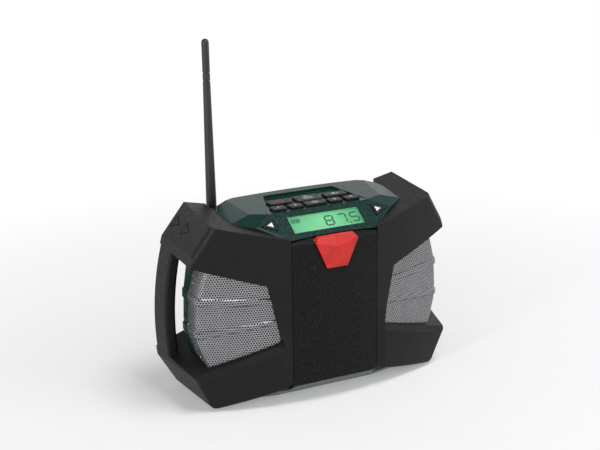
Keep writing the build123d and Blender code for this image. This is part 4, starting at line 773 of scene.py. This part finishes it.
def make_display_figures():
    """The figures under the lens, on the face of the display module."""
    rise, _ = display_axes()
    ink = Print(display_point(0, 0, -LENS_SINK - LENS_T), Vector((1, 0, 0)), rise)
    for figure, x in DIGITS:
        draw_digit(ink, figure, x)
    ink.bar(*POINT_AT, POINT_SIZE, POINT_SIZE)
    draw_battery(ink)
    make_piece("display_figures", ink.mesh("display_figures", INK_T),
               printed("figure_ink", screen(*FIGURE_COLOUR), 0.6), "housing")


def key_print(node):
    """A print on the flat top of a key."""
    low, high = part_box(node)
    centre = Vector(((low[0] + high[0]) / 2, (low[1] + high[1]) / 2, high[2]))
    return Print(centre, Vector((1, 0, 0)), Vector((0, 1, 0)))


def draw_power(ink):
    """A ring that is open at the top, with a stroke through the gap."""
    ink.arc(0, 0, RING_R, LINE_W, *POWER_RING)
    ink.bar(0, RING_R, LINE_W, RING_R)


def draw_function(ink):
    """A small ring over three lines."""
    ink.arc(0, *FUNCTION_RING, LINE_W)
    for row in FUNCTION_ROWS:
        ink.bar(0, row, FUNCTION_W, LINE_W)


def draw_mute(ink):
    """A loudspeaker and a cross."""
    ink.bar(*MUTE_BACK)
    ink.polygon(*MUTE_HORN)
    for slope in (-1, 1):
        ink.polygon(*[(x, y * slope) for x, y in MUTE_STROKE])


def draw_select(ink):
    """A ring with a dot in it."""
    ink.arc(0, 0, RING_R, LINE_W)
    ink.arc(0, 0, 0.0, SELECT_DOT_R)


def number_mesh(name, figure, centre):
    """A plain figure, lying centred on a key."""
    curve = bpy.data.curves.new(name, "FONT")
    curve.body = figure
    curve.size = PRESET_TEXT * MM
    curve.align_x = "CENTER"
    curve.align_y = "CENTER"
    curve.extrude = PRINT_T / 2 * MM
    holder = bpy.data.objects.new(name, curve)
    bpy.context.scene.collection.objects.link(holder)
    mesh = bpy.data.meshes.new_from_object(holder)
    mesh.transform(Matrix.Translation(centre + Vector((0, 0, PRINT_T / 2 * MM))))
    bpy.data.objects.remove(holder)
    return mesh


def make_key_prints():
    """A symbol or a figure on each key."""
    white = printed("white_ink", screen(*PRINT_WHITE))
    red = printed("red_ink", screen(*PRINT_RED))
    symbols = (("power", draw_power, red), ("function", draw_function, white),
               ("mute", draw_mute, white), ("select", draw_select, white))
    for name, draw, material in symbols:
        ink = key_print(f"key_{name}")
        draw(ink)
        make_piece(f"print_{name}", ink.mesh(f"print_{name}", PRINT_T), material, f"key_{name}")
    for figure in "1234":
        body = f"key_preset_{figure}"
        mesh = number_mesh(f"print_preset_{figure}", figure, key_print(body).origin)
        make_piece(f"print_preset_{figure}", mesh, white, body)


def make_arrow_prints():
    """A white triangle on each tuning button, pointing outwards."""
    white = printed("arrow_ink", screen(*ARROW_COLOUR))
    rise, _ = display_axes()
    for name, side in (("right", 1), ("left", -1)):
        ink = Print(display_point(side * ARROW_X, ARROW_UP, ARROW_RISE), Vector((1, 0, 0)), rise)
        turns = [math.radians(turn) for turn in (0, 120, 240)]
        corners = [(side * ARROW_PRINT_R * math.cos(t), side * ARROW_PRINT_R * math.sin(t))
                   for t in turns]
        ink.polygon(*corners)
        make_piece(f"print_arrow_{name}", ink.mesh(f"print_arrow_{name}", PRINT_T), white,
                   f"arrow_{name}")


# ---- camera, lights and floor -----------------------------------------------------------------
def make_camera():
    data = bpy.data.cameras.new("camera")
    data.lens = FOCAL_LENGTH
    data.sensor_width = SENSOR
    camera = bpy.data.objects.new("camera", data)
    bpy.context.scene.collection.objects.link(camera)
    camera.matrix_world = (Matrix.Translation(CAMERA_AT)
                           @ Matrix.Rotation(math.radians(-CAMERA_HEADING), 4, "Z")
                           @ Matrix.Rotation(math.radians(90 - CAMERA_DIP), 4, "X")
                           @ Matrix.Rotation(math.radians(CAMERA_ROLL), 4, "Z"))
    bpy.context.scene.camera = camera


def make_lamp(name, place, size, power):
    """A soft rectangular lamp that faces the object."""
    data = bpy.data.lights.new(name, "AREA")
    data.shape = "RECTANGLE"
    data.size, data.size_y = size
    data.energy = power
    lamp = bpy.data.objects.new(name, data)
    bpy.context.scene.collection.objects.link(lamp)
    lamp.location = place
    lamp.rotation_mode = "QUATERNION"
    lamp.rotation_quaternion = (Vector(LAMP_TARGET) - Vector(place)).to_track_quat("-Z", "Y")


def seen_directly(tree):
    """1 for the camera's rays and for those that metal or glass sends on, otherwise 0."""
    path = add(tree, "ShaderNodeLightPath")
    seen = path.outputs["Is Camera Ray"]
    for ray in ("Is Glossy Ray", "Is Transmission Ray"):
        seen = combined(tree, "MAXIMUM", seen, path.outputs[ray])
    return seen


def make_world():
    """A pale room with a greyer ceiling, whose walls are white where they are seen."""
    world = bpy.data.worlds.new("studio")
    bpy.context.scene.world = world
    world.use_nodes = True
    tree = world.node_tree
    tree.nodes.clear()
    place = add(tree, "ShaderNodeTexCoord")
    direction = add(tree, "ShaderNodeSeparateXYZ")
    tree.links.new(place.outputs["Generated"], direction.inputs["Vector"])
    ceiling = ranged(tree, direction.outputs["Z"], 1.0, CEILING_GREY, *CEILING_RISE)
    level = ranged(tree, seen_directly(tree), ROOM_LIGHT, 1.0, 0.0, 1.0)
    room = add(tree, "ShaderNodeBackground", {"Color": (1, 1, 1, 1)})
    tree.links.new(combined(tree, "MULTIPLY", ceiling, level), room.inputs["Strength"])
    output = add(tree, "ShaderNodeOutputWorld")
    tree.links.new(room.outputs["Background"], output.inputs["Surface"])


def make_floor():
    """A pale floor that keeps the object's shadow and turns white further out."""
    square = ((-1, -1), (1, -1), (1, 1), (-1, 1))
    corners = [(x * FLOOR_REACH, y * FLOOR_REACH, 0) for x, y in square]
    floor = bpy.data.objects.new("floor", mesh_from("floor", corners, [(0, 1, 2, 3)]))
    bpy.context.scene.collection.objects.link(floor)
    material, tree, shader = new_material("floor_paper")
    greys = [screen(grey, grey, grey) for grey in FLOOR_GREYS]
    tree.links.new(mixed(tree, noise(tree, 40.0), *greys), shader.inputs["Base Color"])
    shader.inputs["Roughness"].default_value = 0.9
    shader.inputs["Specular IOR Level"].default_value = 0.1
    glow = add(tree, "ShaderNodeEmission", {"Color": (1, 1, 1, 1), "Strength": 1.0})
    place = add(tree, "ShaderNodeTexCoord")
    away = add(tree, "ShaderNodeVectorMath", operation="LENGTH")
    tree.links.new(place.outputs["Object"], away.inputs[0])
    white = ranged(tree, away.outputs["Value"], FLOOR_GLOW, 1.0, *FLOOR_FADE)
    blend_surface(tree, combined(tree, "MULTIPLY", white, seen_directly(tree)),
                  shader.outputs["BSDF"], glow.outputs["Emission"])
    floor.data.materials.append(material)


def make_lights():
    """Most of the light comes from above, with weaker lamps at both sides and in front."""
    for lamp in LAMPS:
        make_lamp(*lamp)


# ---- the scene --------------------------------------------------------------------------------
def main():
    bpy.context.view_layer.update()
    make_camera()
    finishes = make_finishes()
    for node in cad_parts.values():
        for slot in node.material_slots:
            slot.material = finishes[slot.material.name.split(".")[0]]
    make_grilles(finishes)
    make_display_figures()
    make_key_prints()
    make_arrow_prints()
    make_world()
    make_lights()
    make_floor()
    bpy.context.scene.view_settings.view_transform = "Standard"


main()
